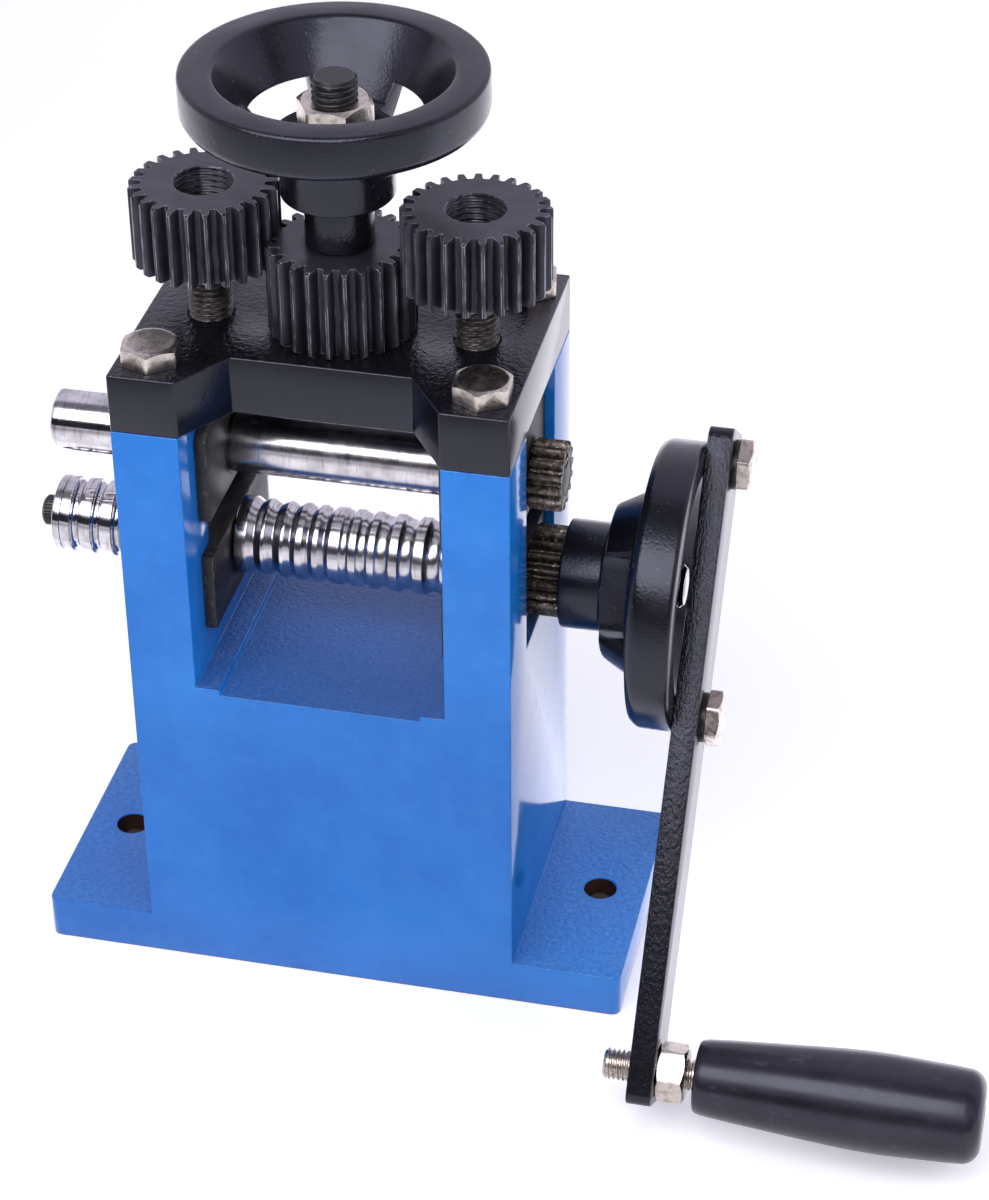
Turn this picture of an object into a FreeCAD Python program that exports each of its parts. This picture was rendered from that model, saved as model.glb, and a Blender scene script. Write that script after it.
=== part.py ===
import FreeCAD, Part
import math
import os

# Ring roller: a hand-cranked mini rolling mill with a ring-rolling overhang on its left side.
# X runs to the crank, -Y is the front, Z is up. The origin is the centre of the base underside.

# ---- frame casting
base_length = 198.0
base_depth = 90.0
base_thickness = 16.0
base_corner_radius = 3.0
edge_round = 1.5
block_width = 125.0
post_rise = 26.7
window_width = 82.0
window_drop = 33.0
slot_width = 42.0
slot_drop = 17.0
strip_width = 8.0
strip_height = 2.0
core_wall = 13.0
core_roof = 14.0
foot_hole_spacing = 167.0
foot_hole_radius = 5.5

# ---- top plate and its bolts
plate_thickness = 20.0
notch_back_width = 57.0
notch_depth = 18.2
frame_bolt_radius = 5.0
frame_bolt_across = 17.0
frame_bolt_head = 6.4
frame_bolt_length = 45.0
frame_bolt_turn = 30.0

# ---- bearing blocks and bushes
flange_thickness = 4.0
flange_depth = 62.0
flange_chamfer = 9.0
block_inset = 3.0
lower_block_rise = 10.5
upper_block_drop = 12.3
plate_gap = 0.8
bush_wall = 1.3

# ---- rolls
roll_axis_height = 145.0
roll_length = 73.0
lower_roll_radius = 12.7
upper_roll_radius = 10.5
lower_journal_radius = 7.25
upper_journal_radius = 10.0
seat_radius = 7.0
upper_seat_radius = 6.0
journal_overhang = 0.5
upper_roll_left_end = 96.4
roll_travel = 13.0
roll_end_chamfer = 0.8
vee_starts = [4.9, 10.2, 15.9, 21.0, 27.5]
vee_widths = [3.7, 3.7, 4.1, 5.5, 5.0]
vee_depths = [1.2, 1.2, 1.3, 1.7, 1.6]
round_starts = [-1.5, 4.0, 10.1, 17.8, 26.2]
round_widths = [3.3, 4.1, 5.1, 5.3, 6.0]
round_depths = [0.7, 0.85, 1.0, 1.1, 1.25]

# ---- drive pinions
pinion_module = 25.4 / 18
lower_pinion_teeth = 19
upper_pinion_teeth = 14
pinion_gap = 0.5
pinion_width = 11.3
pinion_hub_gap = 0.5
pinion_backlash = 0.16
pinion_pressure_angle = 20.0

# ---- ring sleeve on the left arbor
sleeve_radius = 12.5
sleeve_length = 32.4
sleeve_groove_width = 3.2
sleeve_groove_pitch = 7.05
sleeve_first_land = 3.4
washer_thickness = 2.6
arbor_end_gap = 0.4
sleeve_screw_radius = 3.0
sleeve_screw_head_radius = 5.0
sleeve_screw_head = 6.0
sleeve_screw_length = 20.0
sleeve_screw_socket = 5.0

# ---- spoked wheels, one on the crank shaft and one on the adjuster
wheel_height = 41.0
wheel_radius = 46.5
rim_height = 14.2
rim_mouth_radius = 36.4
wheel_hub_radius = 17.6
wheel_hub_height = 19.0
web_radius = 27.0
web_depth = 15.0
web_back_radius = 26.2
web_root_radius = 32.5
hand_window_step = 1.6
hand_window_drop = 1.1
crank_window_drop = 2.8
crank_boss_rise = 5.0
crank_boss_corner = 5.4
crank_boss_lip = 0.2
nut_room = 1.3
crank_window_sweep = 74.0
hand_window_sweep = 63.0
crank_window_turn = 254.0
hand_window_turn = 152.6
wheel_nut_across = 21.0
wheel_nut_height = 12.0
shaft_end_below_rim = 2.6

# ---- crank arm and grip
crank_angle = 36.5
arm_width = 27.0
arm_thickness = 8.0
arm_short_end = 51.0
arm_throw = 153.0
arm_end_margin = 10.5
arm_corner_radius = 4.0
arm_bolt_circle = 40.4
arm_bolt_radius = 5.0
arm_bolt_across = 16.0
arm_bolt_head = 4.8
arm_washer_radius = 8.0
arm_washer_thickness = 1.6
arm_bolt_length = 20.0
upper_arm_bolt_turn = 1.5
lower_arm_bolt_turn = 33.5
stud_radius = 5.0
stud_inner_length = 9.5
spindle_radius = 4.0
grip_nut_across = 17.0
grip_nut_height = 9.0
grip_nut_turn = 8.0
grip_gap = 3.0
grip_length = 90.5
grip_start_radius = 11.8
grip_belly_radius = 15.8
grip_end_radius = 14.9
grip_cap_length = 6.0

# ---- adjuster gears, pressure screws and shaft
adjuster_module = 1.7
adjuster_teeth = 25
adjuster_addendum = 1.15
adjuster_backlash = 0.16
adjuster_pressure_angle = 14.5
side_gear_lift = 19.5
side_gear_height = 25.5
side_gear_bore_radius = 9.2
side_gear_seat_height = 8.5
centre_gear_height = 29.4
thread_lead = 2.0
thread_depth = 1.1
screw_radius = 7.0
screw_tip_radius = 5.0
screw_tip_length = 3.0
plate_journal_radius = 9.0
plate_bush_wall = 2.0
shaft_flange_radius = 13.0
shaft_flange_height = 3.0
collar_radius = 10.7
collar_height = 16.6

# ---- keys, pins and springs
key_width = 4.0
key_height = 4.0
cross_pin_radius = 1.5
spring_radius = 3.4
spring_wire_radius = 0.5
spring_coils = 8
spring_pocket_depth = 8.0
spring_offset = 15.5

# ---- clearances
running_fit = 0.05
slide_fit = 0.1
bolt_clearance = 0.25
pocket_clearance = 0.4
thread_clearance = 0.15
end_play = 0.1

# ---- places worked out from the sizes above
half_block = block_width / 2
half_window = window_width / 2
half_slot = slot_width / 2
half_roll = roll_length / 2
pinion_centres = pinion_module * (lower_pinion_teeth + upper_pinion_teeth) / 2
upper_axis_height = roll_axis_height + pinion_centres + roll_travel
window_floor = roll_axis_height - window_drop
slot_floor = roll_axis_height - slot_drop
posts_top = upper_axis_height + post_rise
plate_top = posts_top + plate_thickness
screw_offset = adjuster_module * adjuster_teeth
flange_face = half_window - flange_thickness
journal_end = half_block + journal_overhang
pinion_start = half_block - block_inset + pinion_gap
hub_start = pinion_start + pinion_width
rim_plane = hub_start + wheel_height
arm_face = rim_plane + arm_thickness
arbor_tip = -(journal_end + sleeve_length - arbor_end_gap)
washer_face = -(journal_end + sleeve_length + washer_thickness)
side_gear_base = plate_top + side_gear_lift
collar_base = plate_top + end_play + centre_gear_height
hand_wheel_base = collar_base + collar_height
frame_bolt_x = (half_block + half_window) / 2
frame_bolt_y = -(base_depth / 2 + half_slot) / 2
spring_base = roll_axis_height + lower_block_rise - spring_pocket_depth
spring_top = upper_axis_height - upper_block_drop + spring_pocket_depth
upper_block_top = posts_top - plate_gap
crank_rise = math.radians(crank_angle)

axis_x = FreeCAD.Vector(1, 0, 0)
axis_y = FreeCAD.Vector(0, 1, 0)
axis_z = FreeCAD.Vector(0, 0, 1)


def point(x, y, z):
    return FreeCAD.Vector(x, y, z)


def block(x_span, y_span, z_span):
    size = [x_span[1] - x_span[0], y_span[1] - y_span[0], z_span[1] - z_span[0]]
    return Part.makeBox(*size, point(x_span[0], y_span[0], z_span[0]))


def rod(radius, start, end):
    """A round bar from one point to another."""
    along = end - start
    return Part.makeCylinder(radius, along.Length, start, along)


def turned(profile, origin, axis):
    """A solid of revolution: profile holds (distance along the axis, radius) pairs."""
    corners = [point(radius, 0, along) for along, radius in profile]
    corners.append(corners[0])
    solid = Part.Face(Part.makePolygon(corners)).revolve(point(0, 0, 0), axis_z, 360)
    return placed(solid, origin, axis)


def placed(shape, origin, axis):
    """Moves a shape that was made along Z at the origin on to another axis."""
    moved = shape.copy()
    moved.Placement = FreeCAD.Placement(origin, FreeCAD.Rotation(axis_z, axis)).multiply(shape.Placement)
    return moved


def group(shapes):
    return Part.makeCompound(shapes)


def mirrored(shape):
    """The same shape on the other side of the YZ plane."""
    return shape.mirror(point(0, 0, 0), axis_x)


def hexagon(across, height, corner_turn):
    """A hexagonal bar along Z with the corners of its far end turned off."""
    corner_radius = across / math.sqrt(3)
    corners = []
    for side in range(7):
        turn = math.radians(60 * side + corner_turn)
        corners.append(point(corner_radius * math.cos(turn), corner_radius * math.sin(turn), 0))
    bar = Part.Face(Part.makePolygon(corners)).extrude(point(0, 0, height))
    chamfer = corner_radius - across / 2 * 0.97
    cone = [(0, 0), (0, corner_radius), (height - chamfer * 0.6, corner_radius)]
    cone += [(height, across / 2 * 0.97), (height, 0)]
    return bar.common(turned(cone, point(0, 0, 0), axis_z))


def thread_profile(radius, start, end):
    """Ring grooves of a thread's depth and lead, as (along, radius) pairs from start to end."""
    profile = []
    turns = int((end - start) / thread_lead)
    slack = (end - start - turns * thread_lead) / 2
    for turn in range(turns):
        foot = start + slack + turn * thread_lead
        profile.append((foot + thread_lead * 0.1, radius))
        profile.append((foot + thread_lead * 0.45, radius - thread_depth))
        profile.append((foot + thread_lead * 0.55, radius - thread_depth))
        profile.append((foot + thread_lead * 0.9, radius))
    return profile


def involute(base_radius, radius):
    """The polar angle of an involute at a radius."""
    if radius <= base_radius:
        return 0.0
    lean = math.acos(base_radius / radius)
    return math.tan(lean) - lean


def gear(module, teeth, width, addendum, backlash, slope, first_gap):
    """A spur gear along Z. Its first tooth points along X, or its first gap if first_gap is set."""
    pressure_angle = math.radians(slope)
    pitch_radius = module * teeth / 2
    base_radius = pitch_radius * math.cos(pressure_angle)
    tip_radius = pitch_radius + module * addendum
    root_radius = pitch_radius - module * (addendum + 0.25)
    half_tooth = math.pi / 2 / teeth - backlash / 2 / pitch_radius + involute(base_radius, pitch_radius)
    flank_start = max(base_radius, root_radius)
    flank = []
    for step in range(7):
        radius = flank_start + (tip_radius - flank_start) * step / 6
        flank.append((radius, half_tooth - involute(base_radius, radius)))
    tooth = [(root_radius, half_tooth + 0.01)]
    tooth += flank
    outline = [(radius, -angle) for radius, angle in tooth]
    outline += [(radius, angle) for radius, angle in reversed(tooth)]
    corners = []
    for number in range(teeth):
        centre = 2 * math.pi * (number + (0.5 if first_gap else 0)) / teeth
        for radius, angle in outline:
            turn = centre + angle
            corners.append(point(radius * math.cos(turn), radius * math.sin(turn), 0))
    corners.append(corners[0])
    return Part.Face(Part.makePolygon(corners)).extrude(point(0, 0, width))


def rounded(shape, radius, chosen):
    """Rounds the edges for which chosen(edge) is true."""
    return shape.makeFillet(radius, [edge for edge in shape.Edges if chosen(edge)])


def stands_upright(edge):
    return abs(edge.Vertexes[0].Z - edge.Vertexes[-1].Z) > 1 and edge.Length > 5


def lies_at(height):
    return lambda edge: all(abs(vertex.Z - height) < 1e-3 for vertex in edge.Vertexes)


def key(origin, axis, side, shaft_radius, length):
    """A flat key along an axis, half sunk in the shaft on the given side."""
    bar = block((shaft_radius - key_height / 2, shaft_radius + key_height / 2),
                (-key_width / 2, key_width / 2), (0, length))
    bar.rotate(point(0, 0, 0), axis_z, side)
    return placed(bar, origin, axis)


# ---- frame casting: base plate, block, U-shaped window, bearing slots and a cored underside
base = block((-base_length / 2, base_length / 2), (-base_depth / 2, base_depth / 2), (0, base_thickness))
base = rounded(base, base_corner_radius, stands_upright)
base = rounded(base, edge_round, lies_at(base_thickness))
tower = block((-half_block, half_block), (-base_depth / 2, base_depth / 2), (base_thickness / 2, posts_top))
tower = rounded(tower, edge_round, stands_upright)
casting = base.fuse(tower)
casting_top = posts_top + 1
window = block((-half_window, half_window), (-base_depth, base_depth), (window_floor, casting_top))
slot = block((-base_length, base_length), (-half_slot, half_slot), (slot_floor, casting_top))
casting = casting.cut(window).cut(slot)
core_x = half_block - core_wall
core_y = base_depth / 2 - core_wall
casting = casting.cut(block((-core_x, core_x), (-core_y, core_y), (-1, window_floor - core_roof)))
for side in (-1, 1):
    wall = side * half_window
    inner = side * (half_window - strip_width)
    strip_top = window_floor + strip_height
    strip = block(sorted((wall, inner)), (-base_depth / 2, base_depth / 2), (window_floor, strip_top))
    casting = casting.fuse(strip)
    foot_x = side * foot_hole_spacing / 2
    casting = casting.cut(rod(foot_hole_radius, point(foot_x, 0, -1), point(foot_x, 0, base_thickness + 1)))
bolt_places = [(x, y) for x in (-frame_bolt_x, frame_bolt_x) for y in (frame_bolt_y, -frame_bolt_y)]
bolt_bore = frame_bolt_radius + bolt_clearance
for x, y in bolt_places:
    bolt_foot = plate_top - frame_bolt_length
    casting = casting.cut(rod(bolt_bore, point(x, y, bolt_foot - 2), point(x, y, casting_top)))
casting = casting.removeSplitter()

# ---- top plate with its front notch
notch_back = -base_depth / 2 + notch_depth
outline = [(-half_block, -base_depth / 2), (-half_window, -base_depth / 2)]
outline += [(-notch_back_width / 2, notch_back), (notch_back_width / 2, notch_back)]
outline += [(half_window, -base_depth / 2), (half_block, -base_depth / 2)]
outline += [(half_block, base_depth / 2), (-half_block, base_depth / 2)]
corners = [point(x, y, posts_top) for x, y in outline + outline[:1]]
plate = Part.Face(Part.makePolygon(corners)).extrude(point(0, 0, plate_thickness))
plate = rounded(plate, 0.8, lies_at(plate_top))
for x, y in bolt_places:
    plate = plate.cut(rod(bolt_bore, point(x, y, posts_top - 1), point(x, y, plate_top + 1)))
screw_bore = screw_radius + thread_clearance
for x in (-screw_offset, screw_offset):
    plate = plate.cut(rod(screw_bore, point(x, 0, posts_top - 1), point(x, 0, plate_top + 1)))
plate_bush_bore = plate_journal_radius + running_fit
plate_bush_radius = plate_bush_bore + plate_bush_wall
plate = plate.cut(rod(plate_bush_radius, point(0, 0, posts_top - 1), point(0, 0, plate_top + 1)))
plate_bush = rod(plate_bush_radius, point(0, 0, posts_top), point(0, 0, plate_top))
plate_bush = plate_bush.cut(rod(plate_bush_bore, point(0, 0, posts_top), point(0, 0, plate_top)))


def hex_bolt(radius, across, head, length, corner_turn):
    """A hex bolt along Z: the head stands on the XY plane and the shank hangs below it."""
    shank = [(-length, 0), (-length, radius - 0.8), (-length + 0.8, radius)]
    shank += thread_profile(radius, -length + 1, -length * 0.45)
    shank += [(0, radius), (0, 0)]
    return hexagon(across, head, corner_turn).fuse(turned(shank, point(0, 0, 0), axis_z)).removeSplitter()


frame_bolt = hex_bolt(frame_bolt_radius, frame_bolt_across, frame_bolt_head, frame_bolt_length,
                      frame_bolt_turn)
frame_bolts = [placed(frame_bolt, point(x, y, plate_top), axis_z) for x, y in bolt_places]


# ---- bearing blocks: a slide in the slot with a wide flange inside the window
def bearing_block(bottom, top, axis_height, bush_radius):
    slide_y = half_slot - slide_fit
    slide = block((half_window - slide_fit, half_block - block_inset), (-slide_y, slide_y), (bottom, top))
    flange_y = flange_depth / 2
    flange = block((flange_face, half_window - slide_fit), (-flange_y, flange_y), (bottom, top))
    body = slide.fuse(flange)
    return body.cut(rod(bush_radius, point(0, 0, axis_height), point(block_width, 0, axis_height)))


def spring_pockets(body, bottom, top):
    for y in (-spring_offset, spring_offset):
        x = (half_window + half_block) / 2
        body = body.cut(rod(spring_radius + pocket_clearance, point(x, y, bottom), point(x, y, top)))
    return body


def bush(journal_radius, axis_height):
    inner_end = point(flange_face, 0, axis_height)
    outer_end = point(half_block - block_inset, 0, axis_height)
    body = rod(journal_radius + running_fit + bush_wall, inner_end, outer_end)
    return body.cut(rod(journal_radius + running_fit, inner_end, outer_end))


lower_block_top = roll_axis_height + lower_block_rise
lower_block = bearing_block(slot_floor, lower_block_top, roll_axis_height,
                            lower_journal_radius + running_fit + bush_wall)
lower_block = spring_pockets(lower_block, spring_base, lower_block_top + 1).removeSplitter()
upper_block_bottom = upper_axis_height - upper_block_drop
upper_block = bearing_block(upper_block_bottom, upper_block_top, upper_axis_height,
                            upper_journal_radius + running_fit + bush_wall)
upper_block = spring_pockets(upper_block, upper_block_bottom - 1, spring_top).removeSplitter()
for side in (-1, 1):
    edge_y = side * flange_depth / 2
    corner = [point(0, edge_y + side, upper_block_top - flange_chamfer - 1)]
    corner.append(point(0, edge_y + side, upper_block_top + 1))
    corner += [point(0, edge_y - side * (flange_chamfer + 1), upper_block_top + 1), corner[0]]
    wedge = Part.Face(Part.makePolygon(corner)).extrude(point(half_block, 0, 0))
    upper_block = upper_block.cut(wedge)
lower_bush = bush(lower_journal_radius, roll_axis_height)
upper_bush = bush(upper_journal_radius, upper_axis_height)


# ---- lower roll: V grooves to the left of its middle land and shallow round ones to the right
arbor_start = -journal_end
lower_profile = [(arbor_tip, 0), (arbor_tip, seat_radius - roll_end_chamfer)]
lower_profile += [(arbor_tip + roll_end_chamfer, seat_radius), (arbor_start, seat_radius)]
lower_profile += [(arbor_start, lower_journal_radius)]
lower_profile += [(-half_roll, lower_journal_radius), (-half_roll, lower_roll_radius - roll_end_chamfer)]
lower_profile += [(-half_roll + roll_end_chamfer, lower_roll_radius)]
for start, width, depth in reversed(list(zip(vee_starts, vee_widths, vee_depths))):
    lower_profile += [(-start - width, lower_roll_radius), (-start - width / 2, lower_roll_radius - depth)]
    lower_profile += [(-start, lower_roll_radius)]
lower_profile += [(half_roll - roll_end_chamfer, lower_roll_radius)]
lower_profile += [(half_roll, lower_roll_radius - roll_end_chamfer), (half_roll, lower_journal_radius)]
lower_profile += [(pinion_start, lower_journal_radius), (pinion_start, seat_radius)]
shaft_end = rim_plane - shaft_end_below_rim
thread_start = hub_start + wheel_hub_height
lower_profile += [(thread_start, seat_radius)]
lower_profile += thread_profile(seat_radius, thread_start, shaft_end - 1)
lower_profile += [(shaft_end - 1, seat_radius), (shaft_end, seat_radius - 1), (shaft_end, 0)]
roll_centre = point(0, 0, roll_axis_height)
lower_roll = turned(lower_profile, roll_centre, axis_x)
for start, width, depth in zip(round_starts, round_widths, round_depths):
    centre = point(start + width / 2, 0, roll_axis_height)
    sweep = (width * width / 4 + depth * depth) / (2 * depth)
    ring = Part.makeTorus(lower_roll_radius + sweep - depth, sweep, centre, axis_x)
    lower_roll = lower_roll.cut(ring)
screw_hole = rod(sleeve_screw_radius + 0.02, point(arbor_tip - 1, 0, roll_axis_height),
                 point(washer_face + sleeve_screw_length + 2, 0, roll_axis_height))
lower_roll = lower_roll.cut(screw_hole)

sleeve_key_origin = point(arbor_tip + 4, 0, roll_axis_height)
sleeve_key = key(sleeve_key_origin, axis_x, 180, seat_radius, sleeve_length - 10)
pinion_key_origin = point(pinion_start, 0, roll_axis_height)
pinion_key = key(pinion_key_origin, axis_x, 180, seat_radius, pinion_width)
wheel_key_start = hub_start + 1
wheel_key = key(point(wheel_key_start, 0, roll_axis_height), axis_x, 180, seat_radius, wheel_hub_height - 4)
for sunk in (sleeve_key, pinion_key, wheel_key):
    lower_roll = lower_roll.cut(sunk)

# ---- ring sleeve, its washer and socket screw
sleeve_outer = arbor_start - sleeve_length
sleeve_bore = seat_radius + running_fit
sleeve_profile = [(sleeve_outer, sleeve_bore), (sleeve_outer, sleeve_radius - 0.4)]
sleeve_profile += [(sleeve_outer + 0.4, sleeve_radius), (arbor_start - 0.4, sleeve_radius)]
sleeve_profile += [(arbor_start, sleeve_radius - 0.4), (arbor_start, sleeve_bore)]
sleeve = turned(sleeve_profile, roll_centre, axis_x)
groove_place = sleeve_outer + sleeve_first_land + sleeve_groove_width / 2
while groove_place + sleeve_groove_width < arbor_start:
    centre = point(groove_place, 0, roll_axis_height)
    ring = Part.makeTorus(sleeve_radius, sleeve_groove_width / 2, centre, axis_x)
    sleeve = sleeve.cut(ring)
    groove_place += sleeve_groove_pitch
keyway = block((sleeve_outer - 1, arbor_start + 1), (-key_width / 2, key_width / 2),
               (roll_axis_height + seat_radius - 2, roll_axis_height + seat_radius + key_height / 2))
sleeve = sleeve.cut(keyway)
washer_profile = [(washer_face, sleeve_screw_radius + bolt_clearance), (washer_face, sleeve_radius - 0.5)]
washer_profile += [(washer_face + 0.5, sleeve_radius), (sleeve_outer, sleeve_radius)]
washer_profile += [(sleeve_outer, sleeve_screw_radius + bolt_clearance)]
washer = turned(washer_profile, roll_centre, axis_x)
head_face = washer_face - sleeve_screw_head
screw_end = washer_face + sleeve_screw_length
screw_profile = [(head_face, 0), (head_face, sleeve_screw_head_radius - 0.8)]
screw_profile += [(head_face + 0.8, sleeve_screw_head_radius)]
screw_profile += [(washer_face, sleeve_screw_head_radius), (washer_face, sleeve_screw_radius)]
screw_profile += [(screw_end, sleeve_screw_radius), (screw_end, 0)]
sleeve_screw = turned(screw_profile, roll_centre, axis_x)
socket = placed(hexagon(sleeve_screw_socket, 3.2, 0), point(head_face, 0, roll_axis_height), axis_x)
sleeve_screw = sleeve_screw.cut(socket)


# ---- pinions: in full mesh when the rolls meet, out of mesh when the gap is wide open
def keyed_gear(body, origin, bore_radius, key_side, width):
    """A gear on the X axis with a bore and a keyway."""
    wheel = placed(body, origin, axis_x)
    wheel = wheel.cut(rod(bore_radius, origin - axis_x, origin + axis_x * (width + 1)))
    return wheel.cut(key(origin - axis_x, axis_x, key_side, bore_radius, width + 2))


lower_pinion = gear(pinion_module, lower_pinion_teeth, pinion_width, 1, pinion_backlash,
                    pinion_pressure_angle, False)
lower_pinion.rotate(point(0, 0, 0), axis_z, 180)
lower_pinion = keyed_gear(lower_pinion, pinion_key_origin, seat_radius, 180, pinion_width)
upper_pinion_width = pinion_width - pinion_hub_gap
upper_pinion_origin = point(pinion_start, 0, upper_axis_height)
upper_pinion = gear(pinion_module, upper_pinion_teeth, upper_pinion_width, 1, pinion_backlash,
                    pinion_pressure_angle, True)
upper_pinion = keyed_gear(upper_pinion, upper_pinion_origin, upper_seat_radius, 180, upper_pinion_width)

# ---- upper roll: one plain shaft that carries on through the left post for ring rolling
upper_centre = point(0, 0, upper_axis_height)
upper_profile = [(-upper_roll_left_end, 0), (-upper_roll_left_end, upper_journal_radius - 1.5)]
upper_profile += [(-upper_roll_left_end + 1.5, upper_journal_radius), (-half_roll, upper_journal_radius)]
upper_profile += [(-half_roll, upper_roll_radius), (half_roll, upper_roll_radius)]
upper_profile += [(half_roll, upper_journal_radius), (pinion_start, upper_journal_radius)]
upper_profile += [(pinion_start, upper_seat_radius)]
upper_shaft_end = pinion_start + upper_pinion_width
upper_profile += [(upper_shaft_end - 0.5, upper_seat_radius), (upper_shaft_end, upper_seat_radius - 0.5)]
upper_profile += [(upper_shaft_end, 0)]
upper_roll = turned(upper_profile, upper_centre, axis_x)
upper_key = key(upper_pinion_origin, axis_x, 180, upper_seat_radius, upper_pinion_width)
upper_roll = upper_roll.cut(upper_key)


# ---- spoked wheel casting: hub, three broad spokes in a dished web, heavy rim
def wheel_casting(window_sweep, window_turn, window_step, window_drop):
    """A casting along Z with its hub at the origin. One window is centred window_turn degrees from X."""
    web_front = wheel_height - web_depth
    rim_back = wheel_height - rim_height
    web_back = wheel_hub_height - 3
    profile = [(0, 0), (0, wheel_hub_radius - 0.8), (0.8, wheel_hub_radius)]
    profile += [(web_back - 2.2, wheel_hub_radius), (web_back - 1.2, web_back_radius - 1.2)]
    profile += [(web_back, web_back_radius), (rim_back, web_root_radius), (rim_back, wheel_radius - 3)]
    profile += [(rim_back + 1, wheel_radius - 1), (rim_back + 3, wheel_radius)]
    profile += [(wheel_height - 1.2, wheel_radius), (wheel_height, wheel_radius - 1.2)]
    profile += [(wheel_height, rim_mouth_radius + 0.6), (wheel_height - 0.6, rim_mouth_radius)]
    profile += [(web_front, web_radius), (wheel_hub_height + 1, web_radius - 5)]
    profile += [(wheel_hub_height, wheel_hub_radius), (wheel_hub_height, 0)]
    wheel = turned(profile, point(0, 0, 0), axis_z)
    opening = rod(web_root_radius + 1, point(0, 0, 5), point(0, 0, rim_back - window_drop))
    opening = opening.cut(rod(wheel_hub_radius + window_step, point(0, 0, 0), point(0, 0, wheel_height)))
    sector = Part.makeCylinder(wheel_radius, wheel_height, point(0, 0, 0), axis_z, window_sweep)
    for number in range(3):
        cutter = sector.copy()
        cutter.rotate(point(0, 0, 0), axis_z, 120 * number + window_turn - window_sweep / 2)
        wheel = wheel.cut(opening.common(cutter))
    return wheel.cut(rod(seat_radius + running_fit / 2, point(0, 0, -1), point(0, 0, wheel_height)))


def wheel_nut(origin, axis):
    nut = hexagon(wheel_nut_across, wheel_nut_height, 0)
    nut = nut.cut(rod(seat_radius + 0.02, point(0, 0, -1), point(0, 0, wheel_nut_height + 1)))
    return placed(nut, origin, axis)


def flat_sided_boss():
    """The crank wheel's hub between its spokes: a flat towards each window, hollow round the nut."""
    foot = wheel_hub_height - 4.2
    boss = rod(wheel_hub_radius + crank_boss_corner, point(0, 0, foot),
               point(0, 0, wheel_hub_height + crank_boss_rise))
    for number in range(3):
        flat = block((wheel_hub_radius + crank_boss_lip, wheel_radius), (-wheel_radius, wheel_radius),
                     (0, wheel_height))
        flat.rotate(point(0, 0, 0), axis_z, 120 * number + crank_window_turn)
        boss = boss.cut(flat)
    nut_corner = wheel_nut_across / math.sqrt(3)
    return boss.cut(rod(nut_corner + nut_room, point(0, 0, foot), point(0, 0, wheel_height)))


# One window of the crank wheel faces the front.
crank_wheel = wheel_casting(crank_window_sweep, crank_window_turn, 0, crank_window_drop)
crank_wheel = crank_wheel.fuse(flat_sided_boss()).removeSplitter()
crank_wheel = placed(crank_wheel, point(hub_start, 0, roll_axis_height), axis_x)
crank_wheel = crank_wheel.cut(key(point(wheel_key_start, 0, roll_axis_height), axis_x, 180, seat_radius,
                                  wheel_hub_height))
crank_nut = wheel_nut(point(hub_start + wheel_hub_height, 0, roll_axis_height), axis_x)


# ---- crank arm: bolted across the rim, leaning forward at rest
def on_crank(x, along, across):
    """A point from the crank axis: along the arm towards the grip, and across it."""
    y = -along * math.sin(crank_rise) + across * math.cos(crank_rise)
    z = -along * math.cos(crank_rise) - across * math.sin(crank_rise)
    return point(x, y, roll_axis_height + z)


arm_corners = [(-arm_short_end, -arm_width / 2), (arm_throw + arm_end_margin, -arm_width / 2)]
arm_corners += [(arm_throw + arm_end_margin, arm_width / 2), (-arm_short_end, arm_width / 2)]
arm_outline = [on_crank(rim_plane, along, across) for along, across in arm_corners + arm_corners[:1]]
arm = Part.Face(Part.makePolygon(arm_outline)).extrude(point(arm_thickness, 0, 0))
arm = rounded(arm, arm_corner_radius, lambda edge: abs(edge.Vertexes[0].X - edge.Vertexes[-1].X) > 1)
arm = arm.cut(rod(stud_radius, on_crank(rim_plane - 1, arm_throw, 0), on_crank(arm_face + 1, arm_throw, 0)))
arm_bolts = []
arm_washers = []
for along, turn in ((-arm_bolt_circle, upper_arm_bolt_turn), (arm_bolt_circle, lower_arm_bolt_turn)):
    seat = on_crank(arm_face, along, 0)
    arm = arm.cut(rod(arm_bolt_radius + bolt_clearance, seat - axis_x * arm_thickness, seat + axis_x))
    crank_wheel = crank_wheel.cut(rod(arm_bolt_radius, seat - axis_x * (arm_bolt_length + 1), seat))
    bolt = hex_bolt(arm_bolt_radius, arm_bolt_across, arm_bolt_head, arm_bolt_length, turn)
    lift = axis_x * arm_washer_thickness
    arm_bolts.append(placed(bolt, seat + lift, axis_x))
    arm_washer = rod(arm_washer_radius, seat, seat + lift)
    arm_washers.append(arm_washer.cut(rod(arm_bolt_radius + bolt_clearance, seat, seat + lift)))

# ---- grip: a threaded stud through the arm, a nut and a free-turning sleeve
grip_centre = on_crank(0, arm_throw, 0)
stud_start = rim_plane - stud_inner_length
nut_end = arm_face + grip_nut_height
grip_start = nut_end + grip_gap
grip_end = grip_start + grip_length
spindle_end = grip_end - grip_cap_length - 6
stud_profile = [(stud_start, 0), (stud_start, stud_radius - 0.8), (stud_start + 0.8, stud_radius)]
stud_profile += thread_profile(stud_radius, stud_start + 1, rim_plane)
stud_profile += [(rim_plane, stud_radius), (arm_face, stud_radius), (grip_start - 0.3, stud_radius)]
stud_profile += [(grip_start - 0.3, spindle_radius), (spindle_end - 3, spindle_radius)]
stud_profile += [(spindle_end - 3, spindle_radius - 1), (spindle_end - 2, spindle_radius - 1)]
stud_profile += [(spindle_end - 2, spindle_radius), (spindle_end, spindle_radius), (spindle_end, 0)]
grip_stud = turned(stud_profile, grip_centre, axis_x)
grip_nut = hexagon(grip_nut_across, grip_nut_height, grip_nut_turn)
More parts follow.
